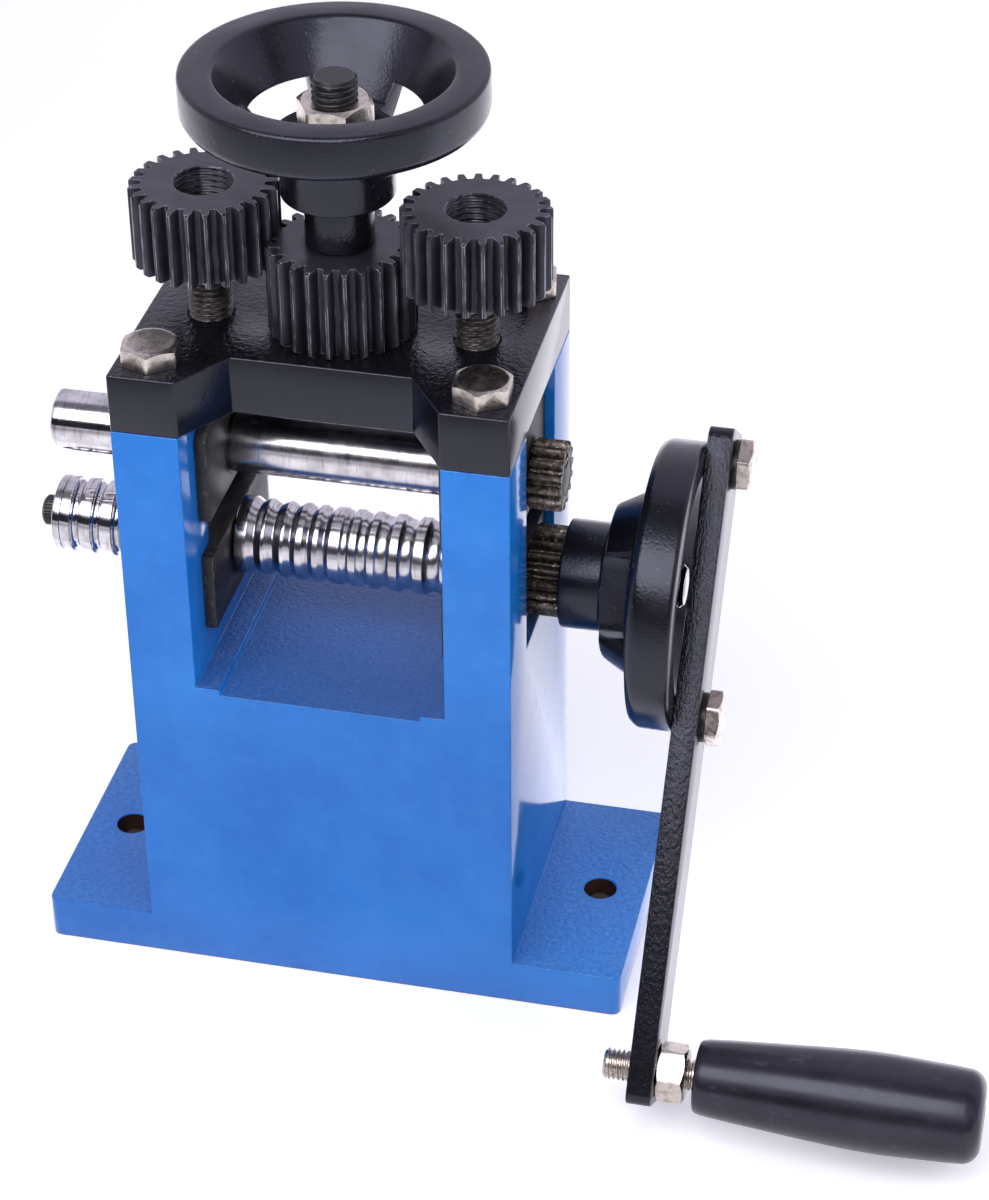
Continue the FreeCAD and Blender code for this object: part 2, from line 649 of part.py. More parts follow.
grip_nut = grip_nut.cut(rod(stud_radius + 0.02, point(0, 0, -1), point(0, 0, grip_nut_height + 1)))
grip_nut = placed(grip_nut, grip_centre + axis_x * arm_face, axis_x)
ring_profile = [(spindle_end - 3, spindle_radius - 1), (spindle_end - 3, spindle_radius + 1.5)]
ring_profile += [(spindle_end - 2, spindle_radius + 1.5), (spindle_end - 2, spindle_radius - 1)]
grip_ring = turned(ring_profile, grip_centre, axis_x)
side_line = Part.BSplineCurve()
side_line.interpolate([point(grip_start_radius, 0, 0), point(grip_start_radius + 1.6, 0, grip_length * 0.2),
                       point(grip_belly_radius, 0, grip_length * 0.58),
                       point(grip_end_radius + 0.4, 0, grip_length * 0.84),
                       point(grip_end_radius, 0, grip_length - grip_cap_length)])
cap_start = point(grip_end_radius, 0, grip_length - grip_cap_length)
cap_middle = point(grip_end_radius - 1.7, 0, grip_length - 1.5)
end_arc = Part.Arc(cap_start, cap_middle, point(grip_end_radius - 6, 0, grip_length))
rim_line = [point(grip_end_radius - 6, 0, grip_length), point(0, 0, grip_length), point(0, 0, 0)]
rim_line.append(point(grip_start_radius, 0, 0))
grip_outline = Part.Wire([side_line.toShape(), end_arc.toShape()] + Part.makePolygon(rim_line).Edges)
grip = Part.Face(grip_outline).revolve(point(0, 0, 0), axis_z, 360)
bore_end = spindle_end + 1 - grip_start
grip_bore = rod(spindle_radius + running_fit, point(0, 0, -1), point(0, 0, bore_end))
ring_room = rod(spindle_radius + 1.8, point(0, 0, bore_end - 4.3), point(0, 0, bore_end))
grip = placed(grip.cut(grip_bore).cut(ring_room), grip_centre + axis_x * grip_start, axis_x)


# ---- adjuster: the hand wheel turns the centre gear, which turns both pressure screws
def adjuster_gear(height):
    return gear(adjuster_module, adjuster_teeth, height, adjuster_addendum, adjuster_backlash,
                adjuster_pressure_angle, False)


centre_gear = adjuster_gear(centre_gear_height)
centre_gear = placed(centre_gear, point(0, 0, plate_top + end_play), axis_z)
gear_key = key(point(0, 0, plate_top + end_play), axis_z, 90, seat_radius, centre_gear_height)
hand_key = key(point(0, 0, hand_wheel_base + 1), axis_z, 90, seat_radius, wheel_hub_height - 4)
centre_gear = centre_gear.cut(rod(seat_radius, point(0, 0, plate_top - 1), point(0, 0, collar_base + 1)))
centre_gear = centre_gear.cut(gear_key)
collar = rod(collar_radius, point(0, 0, collar_base), point(0, 0, hand_wheel_base))
collar = collar.cut(rod(seat_radius + running_fit, point(0, 0, collar_base), point(0, 0, hand_wheel_base)))
collar = rounded(collar, 0.6, lambda edge: edge.Length > 6 * collar_radius)
flange_top = posts_top - end_play
adjuster_end = hand_wheel_base + wheel_height - shaft_end_below_rim
flange_base = flange_top - shaft_flange_height
shaft_profile = [(flange_base, 0), (flange_base, shaft_flange_radius)]
shaft_profile += [(flange_top, shaft_flange_radius), (flange_top, plate_journal_radius)]
shaft_profile += [(plate_top + end_play, plate_journal_radius), (plate_top + end_play, seat_radius)]
nut_seat = hand_wheel_base + wheel_hub_height
shaft_profile += [(nut_seat, seat_radius)] + thread_profile(seat_radius, nut_seat, adjuster_end - 1)
shaft_profile += [(adjuster_end - 1, seat_radius), (adjuster_end, seat_radius - 1), (adjuster_end, 0)]
adjuster_shaft = turned(shaft_profile, point(0, 0, 0), axis_z)
adjuster_shaft = adjuster_shaft.cut(gear_key).cut(hand_key)
hand_wheel = wheel_casting(hand_window_sweep, hand_window_turn, hand_window_step, hand_window_drop)
hand_wheel = placed(hand_wheel, point(0, 0, hand_wheel_base), axis_z)
hand_wheel = hand_wheel.cut(key(point(0, 0, hand_wheel_base + 1), axis_z, 90, seat_radius, wheel_hub_height))
hand_nut = wheel_nut(point(0, 0, nut_seat), axis_z)


# ---- side gears and pressure screws: they turn in the plate and push the upper blocks down
def thread_bore(radius, start, end):
    """The crests and roots of a threaded hole, as (along, radius) pairs for the cutter."""
    return [(along, 2 * radius - groove) for along, groove in thread_profile(radius, start, end)]


def side_gear(x):
    base_height = side_gear_base
    seat_top = base_height + side_gear_seat_height
    body = placed(adjuster_gear(side_gear_height), point(x, 0, base_height), axis_z)
    body = body.cut(rod(screw_radius, point(x, 0, base_height - 1), point(x, 0, seat_top + 1)))
    bore = [(seat_top, 0), (seat_top, side_gear_bore_radius)]
    bore += thread_bore(side_gear_bore_radius, seat_top, base_height + side_gear_height - 1)
    mouth = base_height + side_gear_height + 1
    bore += [(mouth, side_gear_bore_radius + 0.2), (mouth, 0)]
    return body.cut(turned(bore, point(x, 0, 0), axis_z))


def pressure_screw(x):
    tip = upper_block_top
    top = side_gear_base + side_gear_seat_height
    profile = [(tip, 0), (tip, screw_tip_radius), (tip + screw_tip_length, screw_tip_radius)]
    profile += [(tip + screw_tip_length + 0.5, screw_radius - 1)]
    profile += thread_profile(screw_radius, tip + screw_tip_length + 1, side_gear_base)
    profile += [(side_gear_base, screw_radius), (top, screw_radius), (top, 0)]
    return turned(profile, point(x, 0, 0), axis_z)


side_gears = []
pressure_screws = []
screw_pins = []
for x in (-screw_offset, screw_offset):
    pin_height = side_gear_base + side_gear_seat_height / 2
    reach = adjuster_module * (adjuster_teeth / 2 - adjuster_addendum - 0.25) - 0.6
    pin = rod(cross_pin_radius, point(x, -reach, pin_height), point(x, reach, pin_height))
    side_gears.append(side_gear(x).cut(pin))
    pressure_screws.append(pressure_screw(x).cut(pin))
    screw_pins.append(pin)


# ---- lift springs: they hold the upper blocks up against the pressure screws
def lift_spring(x, y):
    coil_radius = spring_radius - spring_wire_radius
    height = spring_top - spring_base - 2 * spring_wire_radius
    path = Part.makeHelix(height / spring_coils, height, coil_radius)
    wire = Part.Wire([Part.makeCircle(spring_wire_radius, point(coil_radius, 0, 0), axis_y)])
    coil = Part.Wire(path.Edges).makePipeShell([wire], True, True)
    coil.translate(point(x, y, spring_base + spring_wire_radius))
    return coil


spring_x = (half_window + half_block) / 2
springs = [lift_spring(x, y) for x in (-spring_x, spring_x) for y in (-spring_offset, spring_offset)]

parts = {
    "frame_casting": casting,
    "top_plate": plate,
    "top_plate_bush": plate_bush,
    "top_plate_bolts": group(frame_bolts),
    "lower_block_left": mirrored(lower_block),
    "lower_block_right": lower_block,
    "lower_bushes": group([lower_bush, mirrored(lower_bush)]),
    "lower_roller": lower_roll,
    "lower_pinion": lower_pinion,
    "lower_shaft_keys": group([pinion_key, wheel_key]),
    "ring_sleeve": sleeve,
    "sleeve_key": sleeve_key,
    "sleeve_washer": washer,
    "sleeve_screw": sleeve_screw,
    "crank_wheel": crank_wheel,
    "crank_nut": crank_nut,
    "crank_arm": arm,
    "crank_arm_bolts": group(arm_bolts),
    "crank_arm_washers": group(arm_washers),
    "grip_stud": grip_stud,
    "grip_nut": grip_nut,
    "grip_retaining_ring": grip_ring,
    "grip": grip,
    "upper_block_left": mirrored(upper_block),
    "upper_block_right": upper_block,
    "upper_bushes": group([upper_bush, mirrored(upper_bush)]),
    "upper_roller": upper_roll,
    "upper_pinion": upper_pinion,
    "upper_pinion_key": upper_key,
    "lift_springs": group(springs),
    "side_gear_left": side_gears[0],
    "side_gear_right": side_gears[1],
    "pressure_screw_left": pressure_screws[0],
    "pressure_screw_right": pressure_screws[1],
    "screw_pin_left": screw_pins[0],
    "screw_pin_right": screw_pins[1],
    "adjuster_shaft": adjuster_shaft,
    "centre_gear": centre_gear,
    "spacer_collar": collar,
    "adjuster_keys": group([gear_key, hand_key]),
    "hand_wheel": hand_wheel,
    "hand_wheel_nut": hand_nut,
}

os.makedirs("parts", exist_ok=True)
for name, shape in parts.items():
    shape.exportStep("parts/" + name + ".step")
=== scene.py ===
import math
import bmesh
import bpy
from mathutils import Matrix, Vector


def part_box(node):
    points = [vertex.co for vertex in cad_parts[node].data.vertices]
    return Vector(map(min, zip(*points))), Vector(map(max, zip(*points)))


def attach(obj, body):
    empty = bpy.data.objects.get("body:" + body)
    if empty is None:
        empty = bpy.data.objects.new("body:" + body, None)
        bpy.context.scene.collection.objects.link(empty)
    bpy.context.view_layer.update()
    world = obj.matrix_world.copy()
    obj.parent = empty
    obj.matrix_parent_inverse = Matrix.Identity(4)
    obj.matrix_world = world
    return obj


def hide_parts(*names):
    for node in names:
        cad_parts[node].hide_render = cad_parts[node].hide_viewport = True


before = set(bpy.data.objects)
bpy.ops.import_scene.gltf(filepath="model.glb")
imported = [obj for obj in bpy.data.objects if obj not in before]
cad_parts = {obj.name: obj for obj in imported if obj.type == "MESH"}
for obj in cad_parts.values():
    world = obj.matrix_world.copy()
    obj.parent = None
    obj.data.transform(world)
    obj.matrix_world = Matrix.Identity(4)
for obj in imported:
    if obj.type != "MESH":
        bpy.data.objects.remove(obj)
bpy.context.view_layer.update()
mm = 0.001  # sizes below are in millimetres, the scene is in metres
baseTop = 16.0  # the base plate's top face
footHole = {"reach": 83.5, "radius": 5.5}  # reach: from the middle of the base to each hole
armAngle = math.radians(36.5)  # the crank arm leans forward from straight down
roundCount, hexCount = 128, 120  # points round a turned piece and round a hexagon
sides = ((-1, "left"), (1, "right"))
print("frame loaded:", len(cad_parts), "nodes")


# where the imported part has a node's faces, in millimetres
def low(node, axis):
    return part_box(node)[0]["xyz".index(axis)] / mm


def high(node, axis):
    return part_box(node)[1]["xyz".index(axis)] / mm


def middle(node, axis):
    return (low(node, axis) + high(node, axis)) / 2


# ---- materials

def toLinear(hexText):
    channels = []
    for start in (0, 2, 4):
        value = int(hexText[start:start + 2], 16) / 255
        channels.append(value / 12.92 if value <= 0.04045 else ((value + 0.055) / 1.055) ** 2.4)
    return (*channels, 1)


coolGloss = toLinear("e4e7fd")  # black finishes mirror slightly blue


def addNode(tree, kind, settings=None, links=None):
    node = tree.nodes.new(kind)
    for key, value in (settings or {}).items():
        if isinstance(key, int) or key in node.inputs:
            node.inputs[key].default_value = value
        else:
            setattr(node, key, value)
    for key, source in (links or {}).items():
        tree.links.new(source, node.inputs[key])
    return node


# an empty material with its shader, and the object's own coordinates in millimetres
def startMaterial(name, surface):
    material = bpy.data.materials.new(name)
    material.use_nodes = True
    tree = material.node_tree
    tree.nodes.clear()
    shader = addNode(tree, "ShaderNodeBsdfPrincipled", surface)
    addNode(tree, "ShaderNodeOutputMaterial", {}, {"Surface": shader.outputs[0]})
    place = addNode(tree, "ShaderNodeTexCoord").outputs["Object"]
    scaled = addNode(tree, "ShaderNodeVectorMath", {"operation": "SCALE", "Scale": 1 / mm}, {0: place})
    return material, tree, shader, scaled.outputs[0]


# soft noise whose lumps are about grain millimetres across; stretch squeezes it along an axis
def noise(tree, place, grain, detail=2.0, stretch=(1, 1, 1), roughness=0.55):
    squeezed = addNode(tree, "ShaderNodeVectorMath", {"operation": "MULTIPLY", 1: stretch}, {0: place})
    texture = addNode(tree, "ShaderNodeTexNoise",
                      {"Scale": 0.5 / grain, "Detail": detail, "Roughness": roughness},
                      {"Vector": squeezed.outputs[0]})
    return texture.outputs[0]


# a value pulled from one range to another, clamped
def spread(tree, value, low, high, toLow=0.0, toHigh=1.0):
    node = addNode(tree, "ShaderNodeMapRange", {1: low, 2: high, 3: toLow, 4: toHigh}, {0: value})
    return node.outputs[0]


# noise pulled apart between levels, so that it lies in patches about grain millimetres across
def patches(tree, place, levels, grain, detail=2.0, stretch=(1, 1, 1), roughness=0.55):
    return spread(tree, noise(tree, place, grain, detail, stretch, roughness), *levels)


def combine(tree, operation, first, second=0):
    links = {i: v for i, v in enumerate((first, second)) if not isinstance(v, (int, float))}
    fixed = {i: v for i, v in enumerate((first, second)) if isinstance(v, (int, float))}
    return addNode(tree, "ShaderNodeMath", {"operation": operation, **fixed}, links).outputs[0]


def blendColour(tree, factor, first, second):
    mix = addNode(tree, "ShaderNodeMix", {"data_type": "RGBA"}, {0: factor})
    for index, colour in ((6, first), (7, second)):
        if isinstance(colour, str):
            mix.inputs[index].default_value = toLinear(colour)
        else:
            tree.links.new(colour, mix.inputs[index])
    return mix.outputs[2]


# an enamel or steel that drifts between its two shades
def mottled(tree, place, look, grain, detail):
    return blendColour(tree, patches(tree, place, (0.35, 0.7), grain, detail), look["colour"], look["grey"])


# bumps stack up: each one is a height and how deep it is in millimetres
def bumps(tree, shader, layers):
    normal = None
    for height, depth in layers:
        links = {"Height": height}
        if normal is not None:
            links["Normal"] = normal
        normal = addNode(tree, "ShaderNodeBump", {"Strength": 1.0, "Distance": depth * mm}, links).outputs[0]
    tree.links.new(normal, shader.inputs["Normal"])


# 1 on edges within reach millimetres, outer and inner ones, 0 on open faces
def edgeMask(tree, reach, low=0.002, high=0.06):
    soft = addNode(tree, "ShaderNodeBevel", {"samples": 4, "Radius": reach * mm})
    flat = addNode(tree, "ShaderNodeNewGeometry").outputs["Normal"]
    agree = addNode(tree, "ShaderNodeVectorMath", {"operation": "DOT_PRODUCT"}, {0: soft.outputs[0], 1: flat})
    return spread(tree, combine(tree, "SUBTRACT", 1.0, agree.outputs["Value"]), low, high)


# 1 deep in gaps and corners narrower than reach millimetres, 0 on open faces
def cavityMask(tree, reach, low=0.35, high=0.8):
    shade = addNode(tree, "ShaderNodeAmbientOcclusion", {"samples": 4, "Distance": reach * mm})
    return spread(tree, shade.outputs["AO"], low, high, 1.0, 0.0)


# edges within reach millimetres, where handling has rubbed the finish away in patches
def rubbedEdges(tree, place, reach, levels, grain, detail):
    return combine(tree, "MULTIPLY", edgeMask(tree, reach), patches(tree, place, levels, grain, detail))


# one part, x, y or z, of a place or a direction
def part(tree, vector, axis):
    return addNode(tree, "ShaderNodeSeparateXYZ", {}, {0: vector}).outputs["xyz".index(axis)]


# how far a face looks along an axis, from -1 to 1
def facing(tree, axis):
    return part(tree, addNode(tree, "ShaderNodeNewGeometry").outputs["Normal"], axis)


# 1 on the walls of the two foot holes
def footHoleMask(tree, place):
    across = combine(tree, "SUBTRACT", combine(tree, "ABSOLUTE", part(tree, place, "x")), footHole["reach"])
    squares = [combine(tree, "MULTIPLY", value, value) for value in (across, part(tree, place, "y"))]
    reach = combine(tree, "SQRT", combine(tree, "ADD", *squares))
    wall = spread(tree, reach, footHole["radius"] + 0.25, footHole["radius"] + 0.05)
    return combine(tree, "MULTIPLY", wall, spread(tree, part(tree, place, "z"), baseTop - 0.4, baseTop - 0.8))


# sprayed enamel over a sand casting: a deep glossy blue with orange peel, dull and sandy where it lies flat
def enamelOnCasting():
    look = {"colour": "0b70cf", "deep": "0862bd", "pale": "2b84dd", "peel": 2.4, "grain": 0.8, "smudge": 12.0}
    material, tree, shader, place = startMaterial("glossyBlueEnamelOnSandCasting", {"Specular IOR Level": 0.42})
    broad = noise(tree, place, 30, 3)
    colour = blendColour(tree, spread(tree, broad, 0.35, 0.68), look["deep"], look["pale"])
    colour = blendColour(tree, patches(tree, place, (0.3, 0.75, 0.3, 0.7), 7, 2), colour, look["colour"])
    up = spread(tree, facing(tree, "z"), 0.7, 0.95)
    height = part(tree, place, "z")
    windowFloorShade = combine(tree, "MULTIPLY", up, spread(tree, height, 100, 108))
    colour = blendColour(tree, combine(tree, "MULTIPLY", up, 0.3), colour, "5a94e4")  # up-facing faces are painted a paler blue
    colour = blendColour(tree, combine(tree, "MULTIPLY", windowFloorShade, 0.75), colour, "234c92")  # painted shade on the window floor below the rolls
    sandy = noise(tree, place, look["grain"], 3, roughness=0.65)
    # painted shade: up-facing faces are darkened in speckles with the sand grain
    speck = combine(tree, "MULTIPLY", up, spread(tree, sandy, 0.35, 0.68, 0.0, 0.5))
    colour = blendColour(tree, speck, colour, "1c4c94")
    glint = combine(tree, "MULTIPLY", up, patches(tree, place, (0.6, 0.75, 0, 0.3), 0.5, 2))
    colour = blendColour(tree, glint, colour, "7ea3e2")
    mottle = patches(tree, place, (0.5, 0.7, 0, 0.11), 3.2, 3, roughness=0.6)
    colour = blendColour(tree, combine(tree, "MULTIPLY", mottle, spread(tree, up, 1.0, 0.0)), colour, "4c93e2")
    wear = rubbedEdges(tree, place, 0.7, (0.52, 0.64, 0, 0.85), 2.0, 3)
    colour = blendColour(tree, wear, colour, "1c3157")
    underside = spread(tree, height, 0.9, 0.3)
    colour = blendColour(tree, combine(tree, "MULTIPLY", underside, spread(tree, broad, 0.3, 0.6, 0.5, 1)), colour,
                         "4a3a3c")
    colour = blendColour(tree, footHoleMask(tree, place), colour, "3a2522")  # bare, rusty drilled walls
    tree.links.new(colour, shader.inputs["Base Color"])
    tree.links.new(spread(tree, facing(tree, "z"), 0.6, 0.95, 0.11, 0.24), shader.inputs["Roughness"])
    sand = combine(tree, "MULTIPLY", sandy, up)
    bumps(tree, shader, [(noise(tree, place, look["peel"], 2), 0.035), (sand, 1.0),
                         (noise(tree, place, look["smudge"], 1), 0.15)])
    return material


# hammered black paint on a flat-ground casting: pebbled and glossy on top, smoother on the ground sides
def pebbledBlackPaint():
    look = {"colour": "0a0a0f", "grey": "121218", "pebble": 0.95}
    material, tree, shader, place = startMaterial("pebbledBlackPaintOnSteelPlate",
                                                  {"Roughness": 0.17, "Specular Tint": coolGloss})
    colour = mottled(tree, place, look, 6, 3)
    rubbed = rubbedEdges(tree, place, 0.4, (0.48, 0.62, 0, 0.85), 1.3, 3)
    tree.links.new(blendColour(tree, rubbed, colour, "62616c"), shader.inputs["Base Color"])
    up = spread(tree, facing(tree, "z"), 0.6, 0.95, 0.05, 1.0)
    pebbles = combine(tree, "MULTIPLY", noise(tree, place, look["pebble"], 3, roughness=0.6), up)
    bumps(tree, shader, [(pebbles, 0.45), (noise(tree, place, 0.6, 1), 0.012), (noise(tree, place, 9, 1), 0.06)])
    return material


# stove-dried black enamel on a rough wheel casting: satin over fine sand, with lumps left by the mould
def satinBlackCasting():
    look = {"colour": "0c0c12", "grey": "15151c", "lump": 4.5, "sand": 0.5}
    material, tree, shader, place = startMaterial("satinBlackEnamelOnCastWheel", {"Specular Tint": coolGloss})
    colour = mottled(tree, place, look, 8, 3)
    worn = rubbedEdges(tree, place, 0.5, (0.5, 0.64, 0, 0.7), 1.6, 3)
    colour = blendColour(tree, worn, colour, "55535f")
    speck = patches(tree, place, (0.69, 0.75, 0, 0.7), 0.8, 2)
    tree.links.new(blendColour(tree, speck, colour, "4a4956"), shader.inputs["Base Color"])
    tree.links.new(patches(tree, place, (0.35, 0.7, 0.17, 0.29), 6, 3), shader.inputs["Roughness"])
    rough = patches(tree, place, (0.42, 0.58, 0.25, 1.0), 22, 1)  # the sand shows in patches
    sand = combine(tree, "MULTIPLY", noise(tree, place, look["sand"], 2), rough)
    bumps(tree, shader, [(noise(tree, place, look["lump"], 2), 0.07), (sand, 0.12)])
    return material


# black paint brushed thick on a hot-rolled bar: coarse grain on the narrow edges, flatter on the broad sides
def grainyBlackBar():
    look = {"colour": "0a0a0e", "grey": "141319", "grain": 0.42}
    material, tree, shader, place = startMaterial("grainyBlackPaintOnBarSteel",
                                                  {"Roughness": 0.22, "Specular Tint": coolGloss})
    colour = mottled(tree, place, look, 5, 3)
    rubbed = rubbedEdges(tree, place, 0.5, (0.46, 0.6, 0, 0.85), 1.1, 3)
    tree.links.new(blendColour(tree, rubbed, colour, "5f5d6a"), shader.inputs["Base Color"])
    edges = spread(tree, combine(tree, "ABSOLUTE", facing(tree, "x")), 0.5, 0.9, 1.0, 0.12)
    along = addNode(tree, "ShaderNodeMapping", {"Rotation": (armAngle, 0, 0)}, {"Vector": place}).outputs[0]
    grain = combine(tree, "MULTIPLY", noise(tree, along, look["grain"], 3, (1, 1, 0.45), 0.62), edges)
    bumps(tree, shader, [(grain, 0.3), (noise(tree, place, 5, 1), 0.015)])
    return material


# hot-blackened and oiled gear steel: painted shade near black in the gaps, the lands and tooth corners rubbed bright
def blackenedGearSteel():
    look = {"colour": "1c1c23", "grey": "31313b", "bright": "b9b8c4"}
    material, tree, shader, place = startMaterial("blackOxideGearSteel", {"Specular Tint": coolGloss})
    colour = mottled(tree, place, look, 4, 4)
    # painted shade: gaps and corners narrower than 3.5 mm are painted near black
    gap = cavityMask(tree, 3.5)
    colour = blendColour(tree, gap, colour, "060608")
    patchy = patches(tree, place, (0.44, 0.58, 0, 0.9), 1.1, 3, (1, 1, 0.3))
    rubbed = combine(tree, "MULTIPLY", edgeMask(tree, 0.35, 0.001, 0.035), patchy)
    tree.links.new(blendColour(tree, rubbed, colour, look["bright"]), shader.inputs["Base Color"])
    tree.links.new(combine(tree, "MULTIPLY", rubbed, 0.85), shader.inputs["Metallic"])
    tree.links.new(combine(tree, "ADD", combine(tree, "MULTIPLY", gap, 0.35), 0.3), shader.inputs["Roughness"])
    bumps(tree, shader, [(noise(tree, place, 0.6, 3, (1, 1, 0.25)), 0.03), (noise(tree, place, 2.4, 2), 0.03)])
    return material


# hobbed pinion steel: warm grey-brown lands, painted shade black in the gaps, on the end faces and on the lower pinion,
# pale specks painted as sparkle highlights, gritty bumps all over
def greasedPinionSteel():
    look = {"colour": "8d8279", "dark": "4a413c", "bright": "cfc5ba"}
    material, tree, shader, place = startMaterial("greasedPinionSteel", {"Metallic": 0.75})
    colour = blendColour(tree, patches(tree, place, (0.42, 0.62), 0.9, 4, roughness=0.65), look["dark"],
                         look["colour"])
    # painted shade: gaps narrower than 2.2 mm are painted near black
    colour = blendColour(tree, cavityMask(tree, 2.2, 0.35, 0.8), colour, "120f0e")
    # painted shade: the lower pinion, lying below 160 to 168 mm, is painted darker
    colour = blendColour(tree, spread(tree, part(tree, place, "z"), 168, 160, 0, 0.55), colour, "1c1817")
    # painted highlights: pale specks stand for sparkle
    sparkleSpecks = patches(tree, place, (0.62, 0.7, 0, 0.8), 0.5, 2)
    colour = blendColour(tree, sparkleSpecks, colour, look["bright"])
    # painted shade: the end faces are painted near black
    ends = spread(tree, combine(tree, "ABSOLUTE", facing(tree, "x")), 0.85, 0.97, 0, 0.9)
    tree.links.new(blendColour(tree, ends, colour, "1d1917"), shader.inputs["Base Color"])
    tree.links.new(patches(tree, place, (0.35, 0.7, 0.34, 0.55), 1.8, 3), shader.inputs["Roughness"])
    bumps(tree, shader, [(noise(tree, place, 0.6, 3), 0.16)])
    return material


# hardened roll steel, ground and polished: a soft mirror with faint lines round it, painted shade in the grooves, dark
# oil near the pinions
def polishedRollSteel():
    look = {"colour": "dbd8dc", "dull": "a9a5a9", "line": 0.35, "oil": "1f1b19"}
    material, tree, shader, place = startMaterial("polishedRollSteel", {"Metallic": 1.0})
    colour = blendColour(tree, patches(tree, place, (0.35, 0.75), 3, 3), look["colour"], look["dull"])
    streak = patches(tree, place, (0.55, 0.7, 0, 0.5), 0.5, 2, (1, 0.1, 0.1))
    colour = blendColour(tree, streak, colour, "6f6a6c")
    # painted shade: the grooves are painted darker
    colour = blendColour(tree, cavityMask(tree, 3.0, 0.3, 0.75), colour, "4a4546")
    along = part(tree, place, "x")
    oily = combine(tree, "MULTIPLY", spread(tree, along, 58, 60), spread(tree, along, 84, 82))
    tree.links.new(blendColour(tree, oily, colour, look["oil"]), shader.inputs["Base Color"])
    worked = combine(tree, "MULTIPLY", spread(tree, along, -40, -36), 0.1)  # rolling wears the middle to a dull gloss
    finish = combine(tree, "ADD", patches(tree, place, (0.4, 0.75, 0.07, 0.16), 2.5, 3), worked)
    tree.links.new(combine(tree, "ADD", finish, combine(tree, "MULTIPLY", oily, 0.25)), shader.inputs["Roughness"])
    lines = noise(tree, place, look["line"], 2, (1, 0.03, 0.03))
    bumps(tree, shader, [(lines, 0.004), (noise(tree, place, 6, 1), 0.004)])
    return material


# nickel-plated hex steel, drawn and lightly stained: warm pale flats with a grain and painted highlights on the edges
def nickelPlatedSteel():
    look = {"colour": "d0c6bd", "dark": "857c76", "bright": "f0ebe6"}
    material, tree, shader, place = startMaterial("nickelPlatedHexSteel", {"Metallic": 1.0})
    colour = blendColour(tree, patches(tree, place, (0.48, 0.72, 0, 0.8), 1.1, 4), look["colour"], look["dark"])
    # painted highlights: every edge is painted bright
    colour = blendColour(tree, edgeMask(tree, 0.3), colour, look["bright"])
    tree.links.new(colour, shader.inputs["Base Color"])
    tree.links.new(patches(tree, place, (0.35, 0.7, 0.24, 0.38), 2, 3), shader.inputs["Roughness"])
    bumps(tree, shader, [(noise(tree, place, 0.8, 3), 0.07)])
    return material


# milled block steel, left dark and oiled: fine crossing tool marks and a few bright scrapes
def milledBlockSteel():
    look = {"colour": "1c1a1c", "brown": "312d2c", "bright": "8c8784"}
    material, tree, shader, place = startMaterial("milledOiledBlockSteel", {"Metallic": 0.2, "Roughness": 0.5})
    colour = blendColour(tree, patches(tree, place, (0.4, 0.7), 1.6, 4, (1, 0.5, 2), 0.65), look["colour"],
                         look["brown"])
    scrape = rubbedEdges(tree, place, 0.4, (0.45, 0.65, 0, 0.9), 1.2, 3)
    colour = blendColour(tree, scrape, colour, look["bright"])
    nick = patches(tree, place, (0.66, 0.74, 0, 0.7), 0.7, 2, (1, 1, 0.3))
    tree.links.new(blendColour(tree, nick, colour, "6d6866"), shader.inputs["Base Color"])
    bumps(tree, shader, [(noise(tree, place, 0.6, 3, (1, 0.3, 1)), 0.08), (noise(tree, place, 2.5, 2), 0.1)])
    return material


# black-oxide screws: dark and oily, the thread crests polished grey by use
def blackScrewSteel():
    look = {"colour": "27262a", "crest": "8f8b8c"}
    material, tree, shader, place = startMaterial("oiledBlackScrewSteel", {"Metallic": 0.55, "Roughness": 0.34})
    rubbed = rubbedEdges(tree, place, 0.3, (0.35, 0.6, 0, 0.9), 1.5, 2)
    tree.links.new(blendColour(tree, rubbed, look["colour"], look["crest"]), shader.inputs["Base Color"])
    bumps(tree, shader, [(noise(tree, place, 0.9, 3), 0.03)])
    return material


# worn adjusting screws: plain steel gone grey-brown, with light crests
def wornScrewSteel():
    look = {"colour": "5f5a5b", "dark": "322e2e", "crest": "a39f9f"}
    material, tree, shader, place = startMaterial("wornAdjustingScrewSteel", {"Metallic": 0.7, "Roughness": 0.38})
    colour = blendColour(tree, patches(tree, place, (0.4, 0.65), 1.4, 3), look["colour"], look["dark"])
    rubbed = rubbedEdges(tree, place, 0.3, (0.35, 0.6, 0, 0.8), 1.5, 2)
    tree.links.new(blendColour(tree, rubbed, colour, look["crest"]), shader.inputs["Base Color"])
    bumps(tree, shader, [(noise(tree, place, 0.7, 3), 0.05)])
    return material


# compression-moulded phenolic, tumbled: dull violet-black with fine turning rings and small marks
def mouldedGripPlastic():
    look = {"colour": "1c1a22", "grey": "292730", "ring": 0.35}
    material, tree, shader, place = startMaterial("mouldedBlackGripPlastic", {"Specular Tint": coolGloss})
    colour = mottled(tree, place, look, 9, 3)
    scuff = patches(tree, place, (0.62, 0.75, 0, 0.35), 1.2, 3, (0.3, 1, 1))
    tree.links.new(blendColour(tree, scuff, colour, "55525e"), shader.inputs["Base Color"])
    tree.links.new(patches(tree, place, (0.3, 0.75, 0.2, 0.32), 5, 3), shader.inputs["Roughness"])
    rings = noise(tree, place, look["ring"], 2, (1, 0.02, 0.02))
    bumps(tree, shader, [(rings, 0.012), (noise(tree, place, 14, 1), 0.04), (noise(tree, place, 0.6, 2), 0.01)])
    return material


